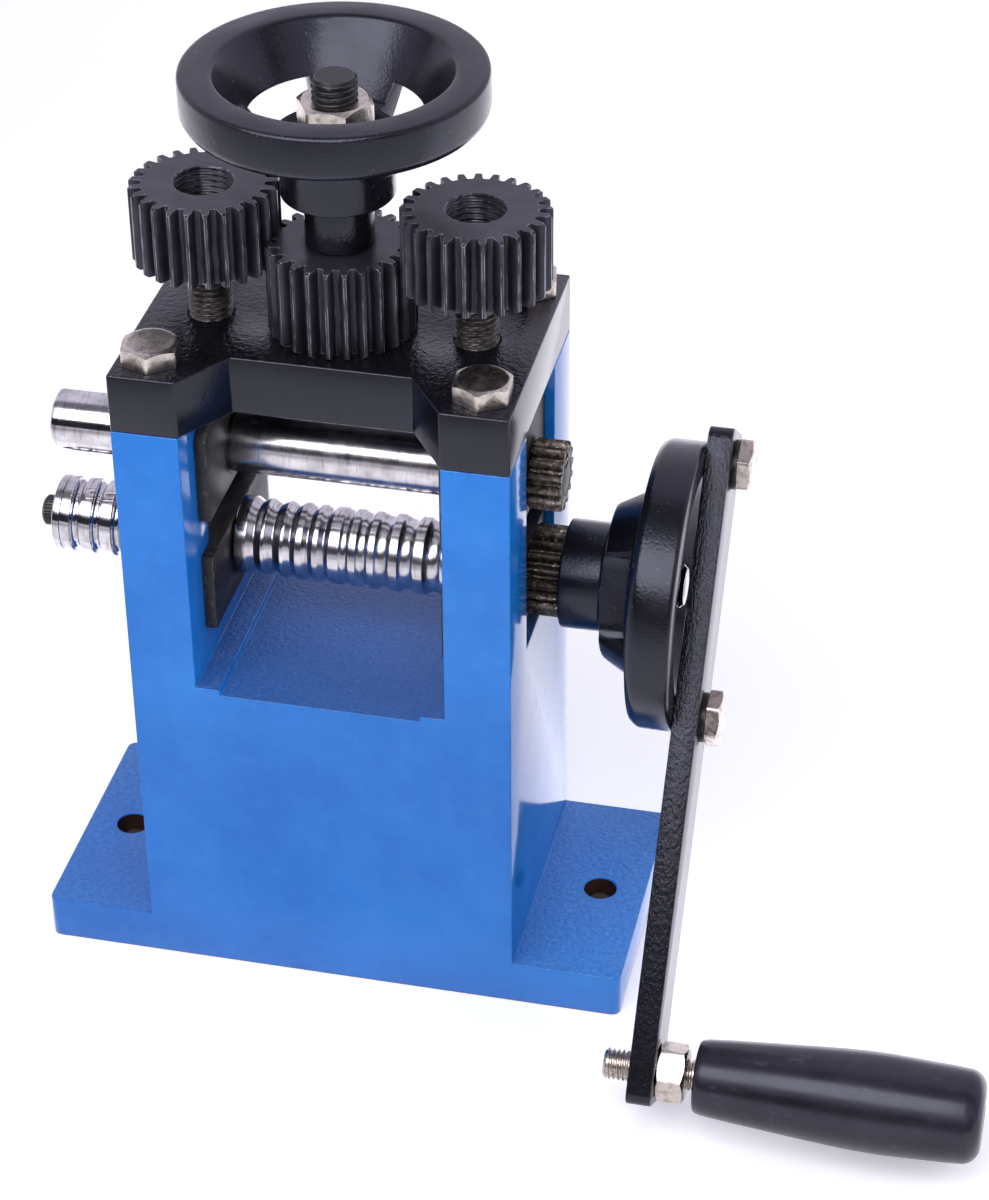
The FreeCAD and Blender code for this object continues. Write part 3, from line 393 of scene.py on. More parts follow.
# turned bearing bronze, stained by old oil: dark brown with fine rings
def oiledBronze():
    material, tree, shader, place = startMaterial("oilStainedBearingBronze", {"Metallic": 0.7, "Roughness": 0.5})
    colour = blendColour(tree, patches(tree, place, (0.35, 0.7), 2, 3), "2a2420", "453a30")
    tree.links.new(colour, shader.inputs["Base Color"])
    bumps(tree, shader, [(noise(tree, place, 0.4, 2, (1, 0.05, 0.05)), 0.006)])
    return material


# drawn and ground bright steel for keys, pins, springs and rings: grey with lengthwise lines
def drawnSteel():
    material, tree, shader, place = startMaterial("drawnKeySteel", {"Metallic": 1.0, "Roughness": 0.36})
    colour = blendColour(tree, patches(tree, place, (0.35, 0.7), 1.5, 3), "5d5a5b", "858181")
    tree.links.new(colour, shader.inputs["Base Color"])
    bumps(tree, shader, [(noise(tree, place, 0.3, 2, (0.1, 1, 1)), 0.008)])
    return material


enamel = enamelOnCasting()
pebbled = pebbledBlackPaint()
satinBlack = satinBlackCasting()
barBlack = grainyBlackBar()
gearSteel = blackenedGearSteel()
pinionSteel = greasedPinionSteel()
rollSteel = polishedRollSteel()
nickel = nickelPlatedSteel()
blockSteel = milledBlockSteel()
screwSteel = blackScrewSteel()
wornSteel = wornScrewSteel()
gripPlastic = mouldedGripPlastic()
bronze = oiledBronze()
keySteel = drawnSteel()
print("materials ready:", len(bpy.data.materials))


# ---- mesh helpers: everything is made along Z at the origin, then laid on its axis

layOn = {"x": Matrix.Rotation(math.radians(90), 4, "Y"), "z": Matrix.Identity(4)}


# closed ring of points; radius and height may change with the angle
def ring(height, radius, count=96):
    points = []
    for i in range(count):
        angle = 2 * math.pi * i / count
        reach = radius(angle) if callable(radius) else radius
        level = height(angle) if callable(height) else height
        points.append((reach * math.cos(angle), reach * math.sin(angle), level))
    return points


def stacked(pairs, count=96):
    return [ring(height, radius, count) for height, radius in pairs]


# joins rings of equal count with faces; loop joins the last to the first, as in a bored piece
def skin(rings, loop=False):
    shape = bmesh.new()
    rows = [[shape.verts.new(Vector(point) * mm) for point in points] for points in rings]
    pairs = list(zip(rows, rows[1:])) + ([(rows[-1], rows[0])] if loop else [])
    for lower, upper in pairs:
        for i in range(len(lower)):
            j = (i + 1) % len(lower)
            shape.faces.new((lower[i], lower[j], upper[j], upper[i]))
    if not loop:
        shape.faces.new(list(reversed(rows[0])))
        shape.faces.new(rows[-1])
    bmesh.ops.remove_doubles(shape, verts=shape.verts, dist=1e-7)
    bmesh.ops.recalc_face_normals(shape, faces=shape.faces)
    return shape


# a turned profile of (along, radius, corner easing) with each corner rounded
def eased(profile, loop=False, steps=3):
    smooth = []
    total = len(profile)
    for i, (along, radius, easing) in enumerate(profile):
        corner = Vector((along, radius))
        ends = not loop and i in (0, total - 1)
        before = Vector(profile[i - 1][:2]) - corner
        after = Vector(profile[(i + 1) % total][:2]) - corner
        reach = 0 if ends else min(easing, before.length * 0.45, after.length * 0.45)
        if reach < 0.01:
            smooth.append((along, radius))
            continue
        start = corner + before.normalized() * reach
        end = corner + after.normalized() * reach
        for step in range(steps + 1):
            t = step / steps
            spot = start * (1 - t) ** 2 + corner * 2 * t * (1 - t) + end * t ** 2
            smooth.append((spot.x, spot.y))
    return smooth


def turned(profile, count=roundCount, loop=False):
    return skin(stacked(eased(profile, loop), count), loop)


# height of a screw thread's groove, 0 on the crest and 1 in the root
def groove(turns):
    rise = 1 - abs(2 * (turns % 1) - 1)
    return min(1, max(0, (rise - 0.14) / 0.72))


# rings of a right-hand thread from start to end, fading in and out over half a turn
def threadRings(crest, depth, lead, start, end, count=72, inside=False):
    rings = []
    steps = max(4, int(abs(end - start) / lead * 12))
    for step in range(steps + 1):
        height = start + (end - start) * step / steps
        fade = min(1, 2 * abs(height - start) / lead, 2 * abs(end - height) / lead)
        sign = 1 if inside else -1
        rings.append(ring(height, lambda angle: crest + sign * depth * fade * groove(
            height / lead - angle / 2 / math.pi), count))
    return rings


# distance from the middle to a hexagon's edge, its corners a little blunt
def hexReach(across, blunt=0.15):
    def reach(angle):
        folded = angle % (math.pi / 3) - math.pi / 6
        return min(across / 2 / math.cos(folded), across / math.sqrt(3) - blunt)
    return reach


# where a 30 degree turned chamfer crosses the hexagon's flats and corners
def chamferLevel(across, top, crown, sign=1):
    reach = hexReach(across)
    return lambda angle: top - sign * (reach(angle) - crown) * 0.577


def hexHead(size):
    across, height = size["across"], size["head"]
    flat, crown = hexReach(across), across / 2 * 0.93
    hollow = height - size["dish"]
    return stacked([(0, lambda angle: flat(angle) - 0.25), (0.2, flat), (chamferLevel(across, height, crown), flat),
                    (height - 0.08, crown + 0.1), (height, crown - 0.25), (height, crown - 0.9),
                    (hollow, crown - 1.9), (hollow, 1.2), (hollow, 0)], hexCount)


def hexNut(size):
    across, height, bore = size["across"], size["height"], size["bore"]
    flat, crown = hexReach(across), across / 2 * 0.95
    rings = stacked([(0, bore + 0.7), (0, crown), (chamferLevel(across, 0, crown, -1), flat),
                     (chamferLevel(across, height, crown), flat), (height, crown), (height, bore + 0.9)], hexCount)
    return rings + threadRings(bore, size["depth"], size["lead"], height - 0.7, 0.7, hexCount, True)


# lays a shape on its axis, makes the object with its material, ties it to its body and hides its CAD node
def makePiece(name, shape, material, body, node, axis="z", origin=(0, 0, 0), turn=0.0, smooth=32):
    matrix = Matrix.Translation(Vector(origin) * mm) @ layOn[axis] @ Matrix.Rotation(turn, 4, "Z")
    shape.transform(matrix)
    mesh = bpy.data.meshes.new(name)
    shape.to_mesh(mesh)
    shape.free()
    piece = bpy.data.objects.new(name, mesh)
    bpy.context.scene.collection.objects.link(piece)
    mesh.materials.append(material)
    mesh.shade_smooth()
    mesh.set_sharp_from_angle(angle=math.radians(smooth))
    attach(piece, body)
    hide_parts(node)
    return piece


def bakeModifiers(piece):
    baked = bpy.data.meshes.new_from_object(piece.evaluated_get(bpy.context.evaluated_depsgraph_get()))
    piece.modifiers.clear()
    piece.data = baked


def box(corner, opposite):
    shape = bmesh.new()
    bmesh.ops.create_cube(shape, size=1)
    size = Vector(opposite) - Vector(corner)
    centre = (Vector(opposite) + Vector(corner)) / 2
    shape.transform(Matrix.Translation(centre * mm) @ Matrix.Diagonal((size * mm).to_4d()))
    return shape


def bar(radius, start, end, axis="z", count=64):
    shape = skin([ring(0, radius, count), ring((Vector(end) - Vector(start)).length, radius, count)])
    shape.transform(Matrix.Translation(Vector(start) * mm) @ layOn[axis])
    return shape


# a flat outline of (first, second) points pushed along the third axis
def extruded(outline, start, end, axis="z"):
    order = {"x": lambda a, b, c: (c, a, b), "y": lambda a, b, c: (a, c, b), "z": lambda a, b, c: (a, b, c)}[axis]
    return skin([[order(a, b, start) for a, b in outline], [order(a, b, end) for a, b in outline]])


def looseObject(shape, name="cutter"):
    mesh = bpy.data.meshes.new(name)
    shape.to_mesh(mesh)
    shape.free()
    item = bpy.data.objects.new(name, mesh)
    bpy.context.scene.collection.objects.link(item)
    return item


# cuts shapes out of a body, then breaks its sharp edges
def machined(shape, cutters, edge, segments=2, limit=38):
    body = looseObject(shape, "stock")
    tools = [looseObject(cutter) for cutter in cutters]
    for tool in tools:
        cut = body.modifiers.new("cut", "BOOLEAN")
        cut.operation = "DIFFERENCE"
        cut.solver = "EXACT"
        cut.object = tool
    bakeModifiers(body)
    for tool in tools:
        bpy.data.objects.remove(tool)
    cleaned = bmesh.new()
    cleaned.from_mesh(body.data)
    bmesh.ops.remove_doubles(cleaned, verts=cleaned.verts, dist=2e-6)
    bmesh.ops.dissolve_limit(cleaned, angle_limit=math.radians(0.5), verts=cleaned.verts, edges=cleaned.edges)
    cleaned.to_mesh(body.data)
    cleaned.free()
    soften = body.modifiers.new("edges", "BEVEL")
    soften.width = edge * mm
    soften.segments = segments
    soften.limit_method = "ANGLE"
    soften.angle_limit = math.radians(limit)
    soften.harden_normals = False
    bakeModifiers(body)
    result = bmesh.new()
    result.from_mesh(body.data)
    bpy.data.objects.remove(body)
    return result


# ---- frame casting: one extruded front shape with the window, then the slot, the core and the bolt holes

casting = {"halfBase": 99.0, "depth": high("top_plate", "y"), "base": baseTop,
           "halfBlock": high("top_plate", "x"), "halfWindow": 41.0, "floor": 112.0, "strip": (8.0, 2.0),
           "posts": low("top_plate", "z"), "halfSlot": 21.0, "slotFloor": low("lower_block_left", "z"),
           "core": (49.5, 32.0, 98.0), "corner": 3.0, "edge": 1.1}


def frontShape(size):
    w, b, h = size["halfWindow"], size["halfBlock"], size["posts"]
    x, t, f = size["halfBase"], size["base"], size["floor"]
    stripWidth, stripHeight = size["strip"]
    half = [(x, 0), (x, t), (b, t), (b, h), (w, h), (w, f + stripHeight), (w - stripWidth, f + stripHeight),
            (w - stripWidth, f)]
    return half + [(-across, up) for across, up in reversed(half)]


def roundedUprights(shape, reach, radius):
    edges = [edge for edge in shape.edges if abs(edge.verts[0].co.z - edge.verts[1].co.z) > 1 * mm
             and all(abs(abs(v.co.x) - reach * mm) < 1e-5 for v in edge.verts)]
    bmesh.ops.bevel(shape, geom=edges, offset=radius * mm, segments=4, profile=0.5, affect="EDGES")


def castingShape(size):
    shape = extruded(frontShape(size), -size["depth"], size["depth"], "y")
    roundedUprights(shape, size["halfBase"], size["corner"])
    coreX, coreY, coreTop = size["core"]
    cutters = [box((-110, -size["halfSlot"], size["slotFloor"]), (110, size["halfSlot"], 220)),
               box((-coreX, -coreY, -5), (coreX, coreY, coreTop))]
    for across in (-footHole["reach"], footHole["reach"]):
        cutters.append(bar(footHole["radius"], (across, 0, -2), (across, 0, size["base"] + 2)))
    return machined(shape, cutters, size["edge"], 3)


makePiece("baseCasting", castingShape(casting), enamel, "frame", "frame_casting", smooth=40)
print("casting made")


# ---- top plate with the V-sided notch, and its hex bolts

plate = {"halfLength": high("top_plate", "x"), "halfDepth": high("top_plate", "y"), "low": low("top_plate", "z"),
         "high": high("top_plate", "z"), "halfWindow": casting["halfWindow"], "notchBack": (28.5, -26.8), "edge": 0.8,
         "screwHole": 7.15, "screwX": 42.5, "bushHole": 11.05}
frameBolt = {"across": 17.0, "head": 6.4, "dish": 0.16, "shank": 5.0, "length": 44.9, "x": 51.75, "y": 33.0,
             "turns": {(-1, -1): 39, (1, -1): 32, (-1, 1): 14, (1, 1): 41}}


def plateShape(size):
    x, y = size["halfLength"], size["halfDepth"]
    backX, backY = size["notchBack"]
    outline = [(-x, -y), (-size["halfWindow"], -y), (-backX, backY), (backX, backY), (size["halfWindow"], -y), (x, -y),
               (x, y), (-x, y)]
    holes = ((-size["screwX"], size["screwHole"]), (size["screwX"], size["screwHole"]), (0, size["bushHole"]))
    cutters = [bar(radius, (across, 0, size["low"] - 2), (across, 0, size["high"] + 2)) for across, radius in holes]
    return machined(extruded(outline, size["low"], size["high"]), cutters, size["edge"], 3)


def addShape(target, extra):
    mesh = bpy.data.meshes.new("part")
    extra.to_mesh(mesh)
    extra.free()
    target.from_mesh(mesh)
    bpy.data.meshes.remove(mesh)


def boltShape(size, turn):
    shape = skin(hexHead(size))
    addShape(shape, turned([(-size["length"], 0, 0), (-size["length"], size["shank"], 0.6), (0, size["shank"], 0),
                            (0, 0, 0)], 48))
    shape.transform(Matrix.Rotation(math.radians(turn), 4, "Z"))
    return shape


def frameBolts(size):
    shape = bmesh.new()
    for (sideX, sideY), turn in size["turns"].items():
        bolt = boltShape(size, turn)
        bolt.transform(Matrix.Translation(Vector((sideX * size["x"], sideY * size["y"], plate["high"])) * mm))
        addShape(shape, bolt)
    return shape


makePiece("topPlate", plateShape(plate), pebbled, "frame", "top_plate", smooth=40)
makePiece("cornerBolts", frameBolts(frameBolt), nickel, "frame", "top_plate_bolts", smooth=24)
print("top plate made")


# ---- bearing blocks: a slide in the slot and a wide flange inside the window

block = {"slideY": 20.9, "flangeY": 31.0, "flangeX": (37.0, 40.9), "slideX": high("lower_block_right", "x"),
         "chamfer": 9.0, "edge": 0.5, "pocketX": 51.75, "pocketY": 15.5, "pocket": 3.8, "lowerBore": 8.6,
         "upperBore": 11.35, "travel": 13.2}  # travel: how far the upper blocks come down over the springs


def blockShape(size, side, node, bore, axisHeight, spring, slanted):
    bottom, top = low(node, "z"), high(node, "z")
    a, b = size["flangeX"]
    slideX, slideY, flangeY = size["slideX"], size["slideY"], size["flangeY"]
    plan = [(a, -flangeY), (b, -flangeY), (b, -slideY), (slideX, -slideY), (slideX, slideY), (b, slideY),
            (b, flangeY), (a, flangeY)]
    shape = extruded([(side * x, y) for x, y in plan[::side]], bottom, top)
    start, end = sorted((side * (a - 2), side * (slideX + 2)))
    cutters = [bar(bore, (start, 0, axisHeight), (end, 0, axisHeight), "x", 96)]
    for way in (-1, 1):
        x, y = side * size["pocketX"], way * size["pocketY"]
        cutters.append(bar(size["pocket"], (x, y, spring[0]), (x, y, spring[1])))
        if slanted:  # the flange's top corners are planed off
            corner, reach = way * (flangeY + 1), size["chamfer"] + 1
            wedge = [(corner, top - reach), (corner, top + 1), (way * (flangeY - reach), top + 1)]
            cutters.append(extruded(wedge[::way], start, end, "x"))
    return machined(shape, cutters, size["edge"], 2)


upperAxis = middle("upper_roller", "z")
rollAxis = middle("lower_roller", "z")
springs = (low("lift_springs", "z"), high("lift_springs", "z"))
for side, word in sides:
    for name, bore, axisHeight, pockets, slanted, body in (
            ("lower", block["lowerBore"], rollAxis, (springs[0], 200), False, "frame"),
            ("upper", block["upperBore"], upperAxis, (100, springs[1] + block["travel"]), True, "upper_carriage")):
        node = name + "_block_" + word
        shape = blockShape(block, side, node, bore, axisHeight, pockets, slanted)
        makePiece(name + "Block" + word.title(), shape, blockSteel, body, node, smooth=40)
print("bearing blocks made")


# ---- rolls: V grooves on the left half of the lower roll, round ones on the right

lowerRoll = {"radius": 12.7, "journal": 7.25, "seat": 7.0, "half": 36.5, "left": 63.0, "hub": 90.3,
             "right": low("lower_pinion", "x"), "edge": 0.25, "lead": 2.0, "depth": 1.1,
             "vees": ((-32.5, 5.0, 1.6), (-26.5, 5.5, 1.7), (-20.0, 4.1, 1.3), (-13.9, 3.7, 1.2), (-8.6, 3.7, 1.2)),
             "rounds": ((-1.5, 3.3, 0.7), (4.0, 4.1, 0.85), (10.1, 5.1, 1.0), (17.8, 5.3, 1.1), (26.2, 6.0, 1.25))}
upperRoll = {"radius": 10.5, "journal": 10.0, "half": 36.5, "seat": 6.0, "edge": 0.5,
             "right": low("upper_pinion", "x") - 0.2}  # stops short, clear of the lower pinion at full travel


def lowerRollShape(size):
    r, edge = size["radius"], size["edge"]
    left, right = low("lower_roller", "x"), high("lower_roller", "x")
    line = [(left, 0, 0), (left, size["seat"], 0.8), (-size["left"], size["seat"], 0),
            (-size["left"], size["journal"], 0), (-size["half"], size["journal"], 0), (-size["half"], r, 0.8)]
    for start, width, deep in size["vees"]:
        line += [(start, r, edge), (start + width / 2, r - deep, 0.4), (start + width, r, edge)]
    for start, width, deep in size["rounds"]:
        sweep = (width * width / 4 + deep * deep) / 2 / deep
        for step in range(9):
            across = width * (step / 8 - 0.5)
            easing = edge if step in (0, 8) else 0
            line.append((start + width / 2 + across, r + sweep - deep - math.sqrt(sweep ** 2 - across ** 2), easing))
    line += [(size["half"], r, 0.8), (size["half"], size["journal"], 0), (size["right"], size["journal"], 0),
             (size["right"], size["seat"], 0), (size["hub"], size["seat"], 0)]
    rings = stacked(eased(line), roundCount)
    rings += threadRings(size["seat"], size["depth"], size["lead"], size["hub"], right - 1.2, roundCount)
    return skin(rings + stacked([(right, size["seat"] - 1.1), (right, 0)], roundCount))


def upperRollShape(size):
    left, right = low("upper_roller", "x"), high("upper_roller", "x")
    line = [(left, 0, 0), (left, size["journal"], 1.6), (-size["half"], size["journal"], 0),
            (-size["half"], size["radius"], size["edge"]), (size["half"], size["radius"], size["edge"]),
            (size["half"], size["journal"], 0), (size["right"], size["journal"], 0),
            (size["right"], size["seat"], 0), (right, size["seat"], 0.5), (right, 0, 0)]
    return turned(line)


makePiece("lowerRoll", lowerRollShape(lowerRoll), rollSteel, "drive", "lower_roller", "x",
          (0, 0, rollAxis), smooth=28)
makePiece("upperRoll", upperRollShape(upperRoll), rollSteel, "upper_roll", "upper_roller", "x",
          (0, 0, upperAxis), smooth=28)
print("rolls made")


# ---- ring sleeve on the left arbor, its washer and socket screw

sleeve = {"radius": 12.5, "bore": 7.05, "groove": 3.2, "pitch": 7.05, "land": 3.4, "edge": 0.35}
washer = {"radius": 12.5, "bore": 3.25, "edge": 0.6}
socketScrew = {"head": 5.0, "height": 6.0, "shank": 3.0, "socket": 5.0, "deep": 3.0, "knurls": 36}


def sleeveShape(size):
    left, right = low("ring_sleeve", "x"), high("ring_sleeve", "x")
    line = [(left, size["bore"], 0.3), (left, size["radius"], size["edge"])]
    centre = left + size["land"] + size["groove"] / 2
    while centre + size["groove"] < right:
        for step in range(9):
            angle = math.pi * step / 8
            easing = 0.2 if step in (0, 8) else 0
            line.append((centre - size["groove"] / 2 * math.cos(angle),
                         size["radius"] - size["groove"] / 2 * math.sin(angle), easing))
        centre += size["pitch"]
    line += [(right, size["radius"], size["edge"]), (right, size["bore"], 0.3)]
    return turned(line, loop=True)


def washerShape(size):
    left, right = low("sleeve_washer", "x"), high("sleeve_washer", "x")
    return turned([(left, size["bore"], 0.3), (left, size["radius"], size["edge"]), (right, size["radius"], 0.25),
                   (right, size["bore"], 0.2)], loop=True)


def socketScrewShape(size):
    left, right = low("sleeve_screw", "x"), high("sleeve_screw", "x")
    hollow, inner, head = left + size["deep"], left + size["height"], size["head"]
    knurl = lambda angle: head - 0.16 * abs(math.sin(angle * size["knurls"] / 2))
    hexWall = hexReach(size["socket"], 0)
    return skin(stacked([(hollow, 0), (hollow, hexWall), (left + 0.2, hexWall),
                         (left, lambda angle: hexWall(angle) + 0.25), (left, head - 0.8), (left + 0.7, head - 0.1),
                         (left + 1.0, knurl), (inner - 0.3, knurl), (inner, head - 0.25), (inner, size["shank"]),
                         (right, size["shank"]), (right, 0)], size["knurls"] * 4))


for name, shape, node in (("ringSleeve", sleeveShape(sleeve), "ring_sleeve"),
                          ("endWasher", washerShape(washer), "sleeve_washer")):
    makePiece(name, shape, rollSteel, "drive", node, "x", (0, 0, rollAxis), smooth=28)
makePiece("socketScrew", socketScrewShape(socketScrew), screwSteel, "drive", "sleeve_screw", "x",
          (0, 0, rollAxis), smooth=30)
print("ring sleeve made")


# ---- gears: involute teeth, their ends chamfered

def involute(base, radius):
    if radius <= base:
        return 0.0
    lean = math.acos(base / radius)
    return math.tan(lean) - lean


# lowered cuts the tips down and inset thins the teeth, as at a chamfered end
def gearOutline(size, lowered=0.0, inset=0.0):
    pitch = size["module"] * size["teeth"] / 2
    base = pitch * math.cos(math.radians(size["slope"]))
    tip = pitch + size["module"] * size["addendum"] - lowered
    root = pitch - size["module"] * (size["addendum"] + 0.25)
    half = math.pi / 2 / size["teeth"] - size["backlash"] / 2 / pitch + involute(base, pitch)
    start = max(base, root + 0.5)
    fillet = 0.45  # the gap's bottom corners are rounded
    tooth = [(root, half + (0.01 * root + fillet) / root), (root + 0.12, half + (0.01 * root + fillet * 0.45) / root),
             (root + fillet, half + 0.01)]
    for step in range(6):
        radius = start + (tip - start) * step / 5
        tooth.append((radius, half - involute(base, radius)))
    blunt = size["blunt"]
    radius, angle = tooth.pop()
    tooth += [(radius - blunt, angle + 0.2 * blunt / radius), (radius, angle - blunt / radius)]
    tooth = [(radius, angle - inset / radius) for radius, angle in tooth]
    outline = [(radius, -angle) for radius, angle in tooth] + [(radius, angle) for radius, angle in reversed(tooth)]
    first = 0.5 if size["gapFirst"] else 0
    return [(radius, angle + 2 * math.pi * (number + first) / size["teeth"])
            for number in range(size["teeth"]) for radius, angle in outline]


def outlineRing(outline, height):
    return [(radius * math.cos(angle), radius * math.sin(angle), height) for radius, angle in outline]


# a ring with the outline's own angles, so the faces between them stay square
def matchingRing(outline, height, radius):
    points = []
    for _, angle in outline:
        reach = radius(angle) if callable(radius) else radius
        points.append((reach * math.cos(angle), reach * math.sin(angle), height))
    return points


def gearShape(size, bottom, top, bore):
    outline, chamfer = gearOutline(size), size["chamfer"]
    small = gearOutline(size, chamfer * 1.2, 0.1)
    web = min(radius for radius, _ in outline) - 1.0
    rings = [matchingRing(outline, bottom, web), outlineRing(small, bottom), outlineRing(outline, bottom + chamfer)]
    rings += [outlineRing(outline, top - chamfer), outlineRing(small, top), matchingRing(outline, top, web)]
    rings += [matchingRing(outline, height, radius) for height, radius in bore]
    return skin(rings, True)


def plainBore(radius, bottom, top):
    return [(top, radius + 0.5), (top - 0.5, radius), (bottom + 0.5, radius), (bottom, radius + 0.5)]


def threadedBore(size, bottom, top):
    seat = bottom + size["seat"]
    crest, lead = size["bore"], size["lead"]
    bore = [(top, crest + 0.35), (top - 0.35, crest)]
    steps = int((top - 0.6 - seat) / lead * 8)
    for step in range(steps + 1):
        height = top - 0.6 - (top - 0.6 - seat) * step / steps
        bore.append((height, lambda angle, z=height: crest + size["threadDepth"] * groove(
            z / lead - angle / 2 / math.pi)))
    return bore + [(seat, size["screw"]), (bottom + 0.4, size["screw"]), (bottom, size["screw"] + 0.4)]


pinion = {"module": 25.4 / 18, "addendum": 1, "backlash": 0.16, "slope": 20, "chamfer": 0.5, "blunt": 0.15}
lowerPinion = {**pinion, "teeth": 19, "gapFirst": False, "bore": 7.0}
upperPinion = {**pinion, "teeth": 14, "gapFirst": True, "bore": 6.0}
for size, node, name, body, height in ((lowerPinion, "lower_pinion", "lowerPinion", "drive", rollAxis),
                                       (upperPinion, "upper_pinion", "upperPinion", "upper_roll", upperAxis)):
    left, right = low(node, "x"), high(node, "x")
    shape = gearShape(size, left, right, plainBore(size["bore"], left, right))
    makePiece(name, shape, pinionSteel, body, node, "x", (0, 0, height),
              turn=math.pi if name == "lowerPinion" else 0.0, smooth=34)

adjusterGear = {"module": 1.7, "teeth": 25, "addendum": 1.15, "backlash": 0.16, "slope": 14.5, "gapFirst": False,
                "chamfer": 0.8, "blunt": 0.15, "bore": 9.2, "screw": 7.0, "seat": 8.5, "lead": 2.0, "threadDepth": 0.8}
for side, word in sides:
    node = "side_gear_" + word
    bottom, top = low(node, "z"), high(node, "z")
    shape = gearShape(adjusterGear, bottom, top, threadedBore(adjusterGear, bottom, top))
    makePiece("sideGear" + word.title(), shape, gearSteel, word + "_screw", node, "z",
              (middle(node, "x"), 0, 0), smooth=34)
bottom, top = low("centre_gear", "z"), high("centre_gear", "z")
makePiece("centreGear", gearShape(adjusterGear, bottom, top, plainBore(7.0, bottom, top)), gearSteel, "adjuster",
          "centre_gear", smooth=34)
print("gears made")


# ---- pressure screws with real threads

pressureScrew = {"radius": 7.0, "tip": 5.0, "tipLength": 3.0, "lead": 2.0, "depth": 1.1, "head": 8.5}


def pressureScrewShape(size, bottom, top):
    neck, tip = bottom + size["tipLength"], size["tip"]
    rings = stacked([(bottom, 0), (bottom, tip - 0.5), (bottom + 0.5, tip), (neck, tip),
                     (neck + 0.5, size["radius"] - 1)])
    rings += threadRings(size["radius"], size["depth"], size["lead"], neck + 1, top - size["head"], 96)
    return skin(rings + stacked([(top, size["radius"]), (top, 0)]))


for word in ("left", "right"):
    node = "pressure_screw_" + word
    makePiece("pressureScrew" + word.title(), pressureScrewShape(pressureScrew, low(node, "z"), high(node, "z")),
              wornSteel, word + "_screw", node, "z", (middle(node, "x"), 0, 0), smooth=40)
print("pressure screws made")


# ---- adjuster shaft and collar

adjusterShaft = {"flange": (13.0, 3.0), "journal": 9.0, "seat": 7.0, "lead": 2.0, "depth": 1.1}
collar = {"radius": 10.7, "bore": 7.05, "edge": 0.7}
nutSeat = low("hand_wheel_nut", "z")


def adjusterShaftShape(size):
    bottom, top = low("adjuster_shaft", "z"), high("adjuster_shaft", "z")
    radius, height = size["flange"]
    shoulder = low("centre_gear", "z")
    line = [(bottom, 0, 0), (bottom, radius, 0.5), (bottom + height, radius, 0.3),
            (bottom + height, size["journal"], 0), (shoulder, size["journal"], 0), (shoulder, size["seat"], 0),
            (nutSeat, size["seat"], 0)]
    rings = stacked(eased(line))
    rings += threadRings(size["seat"], size["depth"], size["lead"], nutSeat, top - 1.0, 96)
    return skin(rings + stacked([(top - 0.6, size["seat"] - 0.4), (top, size["seat"] - 1.0),
                                 (top, size["seat"] - 1.3), (top, 0)]))


bottom, top = low("spacer_collar", "z"), high("spacer_collar", "z")
makePiece("adjusterShaft", adjusterShaftShape(adjusterShaft), screwSteel, "adjuster", "adjuster_shaft",
          smooth=40)
makePiece("spacerCollar", turned([(bottom, collar["bore"], 0.3), (bottom, collar["radius"], collar["edge"]),
                                  (top, collar["radius"], collar["edge"]), (top, collar["bore"], 0.3)], loop=True),
          satinBlack, "adjuster", "spacer_collar", smooth=34)
print("adjuster shaft made")


# ---- spoked wheels: a turned casting with three windows between hub and rim

wheel = {"height": 41.0, "radius": 46.5, "rimBack": 26.8, "mouth": 36.4, "hub": 17.6, "hubHeight": 19.0,
         "webInner": 27.0, "webFront": 26.0, "webBack": 26.2, "webRoot": 32.5, "bore": 7.03, "edge": 0.7}
handWindows = {"sweep": 63.0, "turn": 152.6, "corner": 2.0, "inner": 19.2, "top": 25.7, "flat": False}
crankWindows = {"sweep": 74.0, "turn": 254.0, "corner": 2.0, "inner": 17.8, "top": 24.0, "flat": True}
crankCup = {"radius": 23.0, "room": 13.4, "height": 24.0}  # stands round the crank nut, with a flat to each window


def wheelProfile(size, cup=None):
    hub, hubTop, rim, height = size["hub"], size["hubHeight"], size["radius"], size["height"]
    web = hubTop - 3
    line = [(0, size["bore"], 0.4), (0, hub, 0.8), (web - 2.2, hub, 1.0), (web - 1.2, size["webBack"] - 1.0, 0.8),
            (web, size["webBack"], 0.8), (size["rimBack"], size["webRoot"], 1.5), (size["rimBack"], rim - 1.6, 0.5),
            (size["rimBack"] + 2.2, rim, 1.8), (height, rim, 1.6), (height, size["mouth"], 1.2),
            (size["webFront"], size["webInner"], 1.5)]
    if cup:
        dish = hubTop + 2.2
        line += [(dish, cup["radius"], 0.8), (cup["height"], cup["radius"], 0.8), (cup["height"], cup["room"], 0.8),
                 (hubTop, cup["room"], 0.5)]
    else:
        line += [(hubTop + 1, size["webInner"] - 5, 1.0), (hubTop, hub, 1.0)]
    return line + [(hubTop, size["bore"], 0.4)]


# a window's plan: part of a ring with rounded corners; its inner side may be a straight flat
def windowPlan(outer, windows):
    points = []
    for radius, sign, order in ((outer, -1, 1), (windows["inner"], 1, -1)):
        half = windows["sweep"] / 2 - math.degrees(windows["corner"] / radius) * 0.3
        for step in range(17):
            angle = math.radians(order * (-half + 2 * half * step / 16))
            near = min(step, 16 - step) / 2.0
            reach = radius + sign * windows["corner"] * 0.3 * max(0, 1 - near) ** 2
            if windows["flat"] and sign > 0:
                reach /= math.cos(angle)
            points.append((reach * math.cos(angle), reach * math.sin(angle)))
    return points


def windowCutters(size, windows):
    cutters = []
    for number in range(3):
        cutter = extruded(windowPlan(size["webRoot"] + 1, windows), 5, windows["top"])
        cutter.transform(Matrix.Rotation(math.radians(120 * number + windows["turn"]), 4, "Z"))
        cutters.append(cutter)
    return cutters


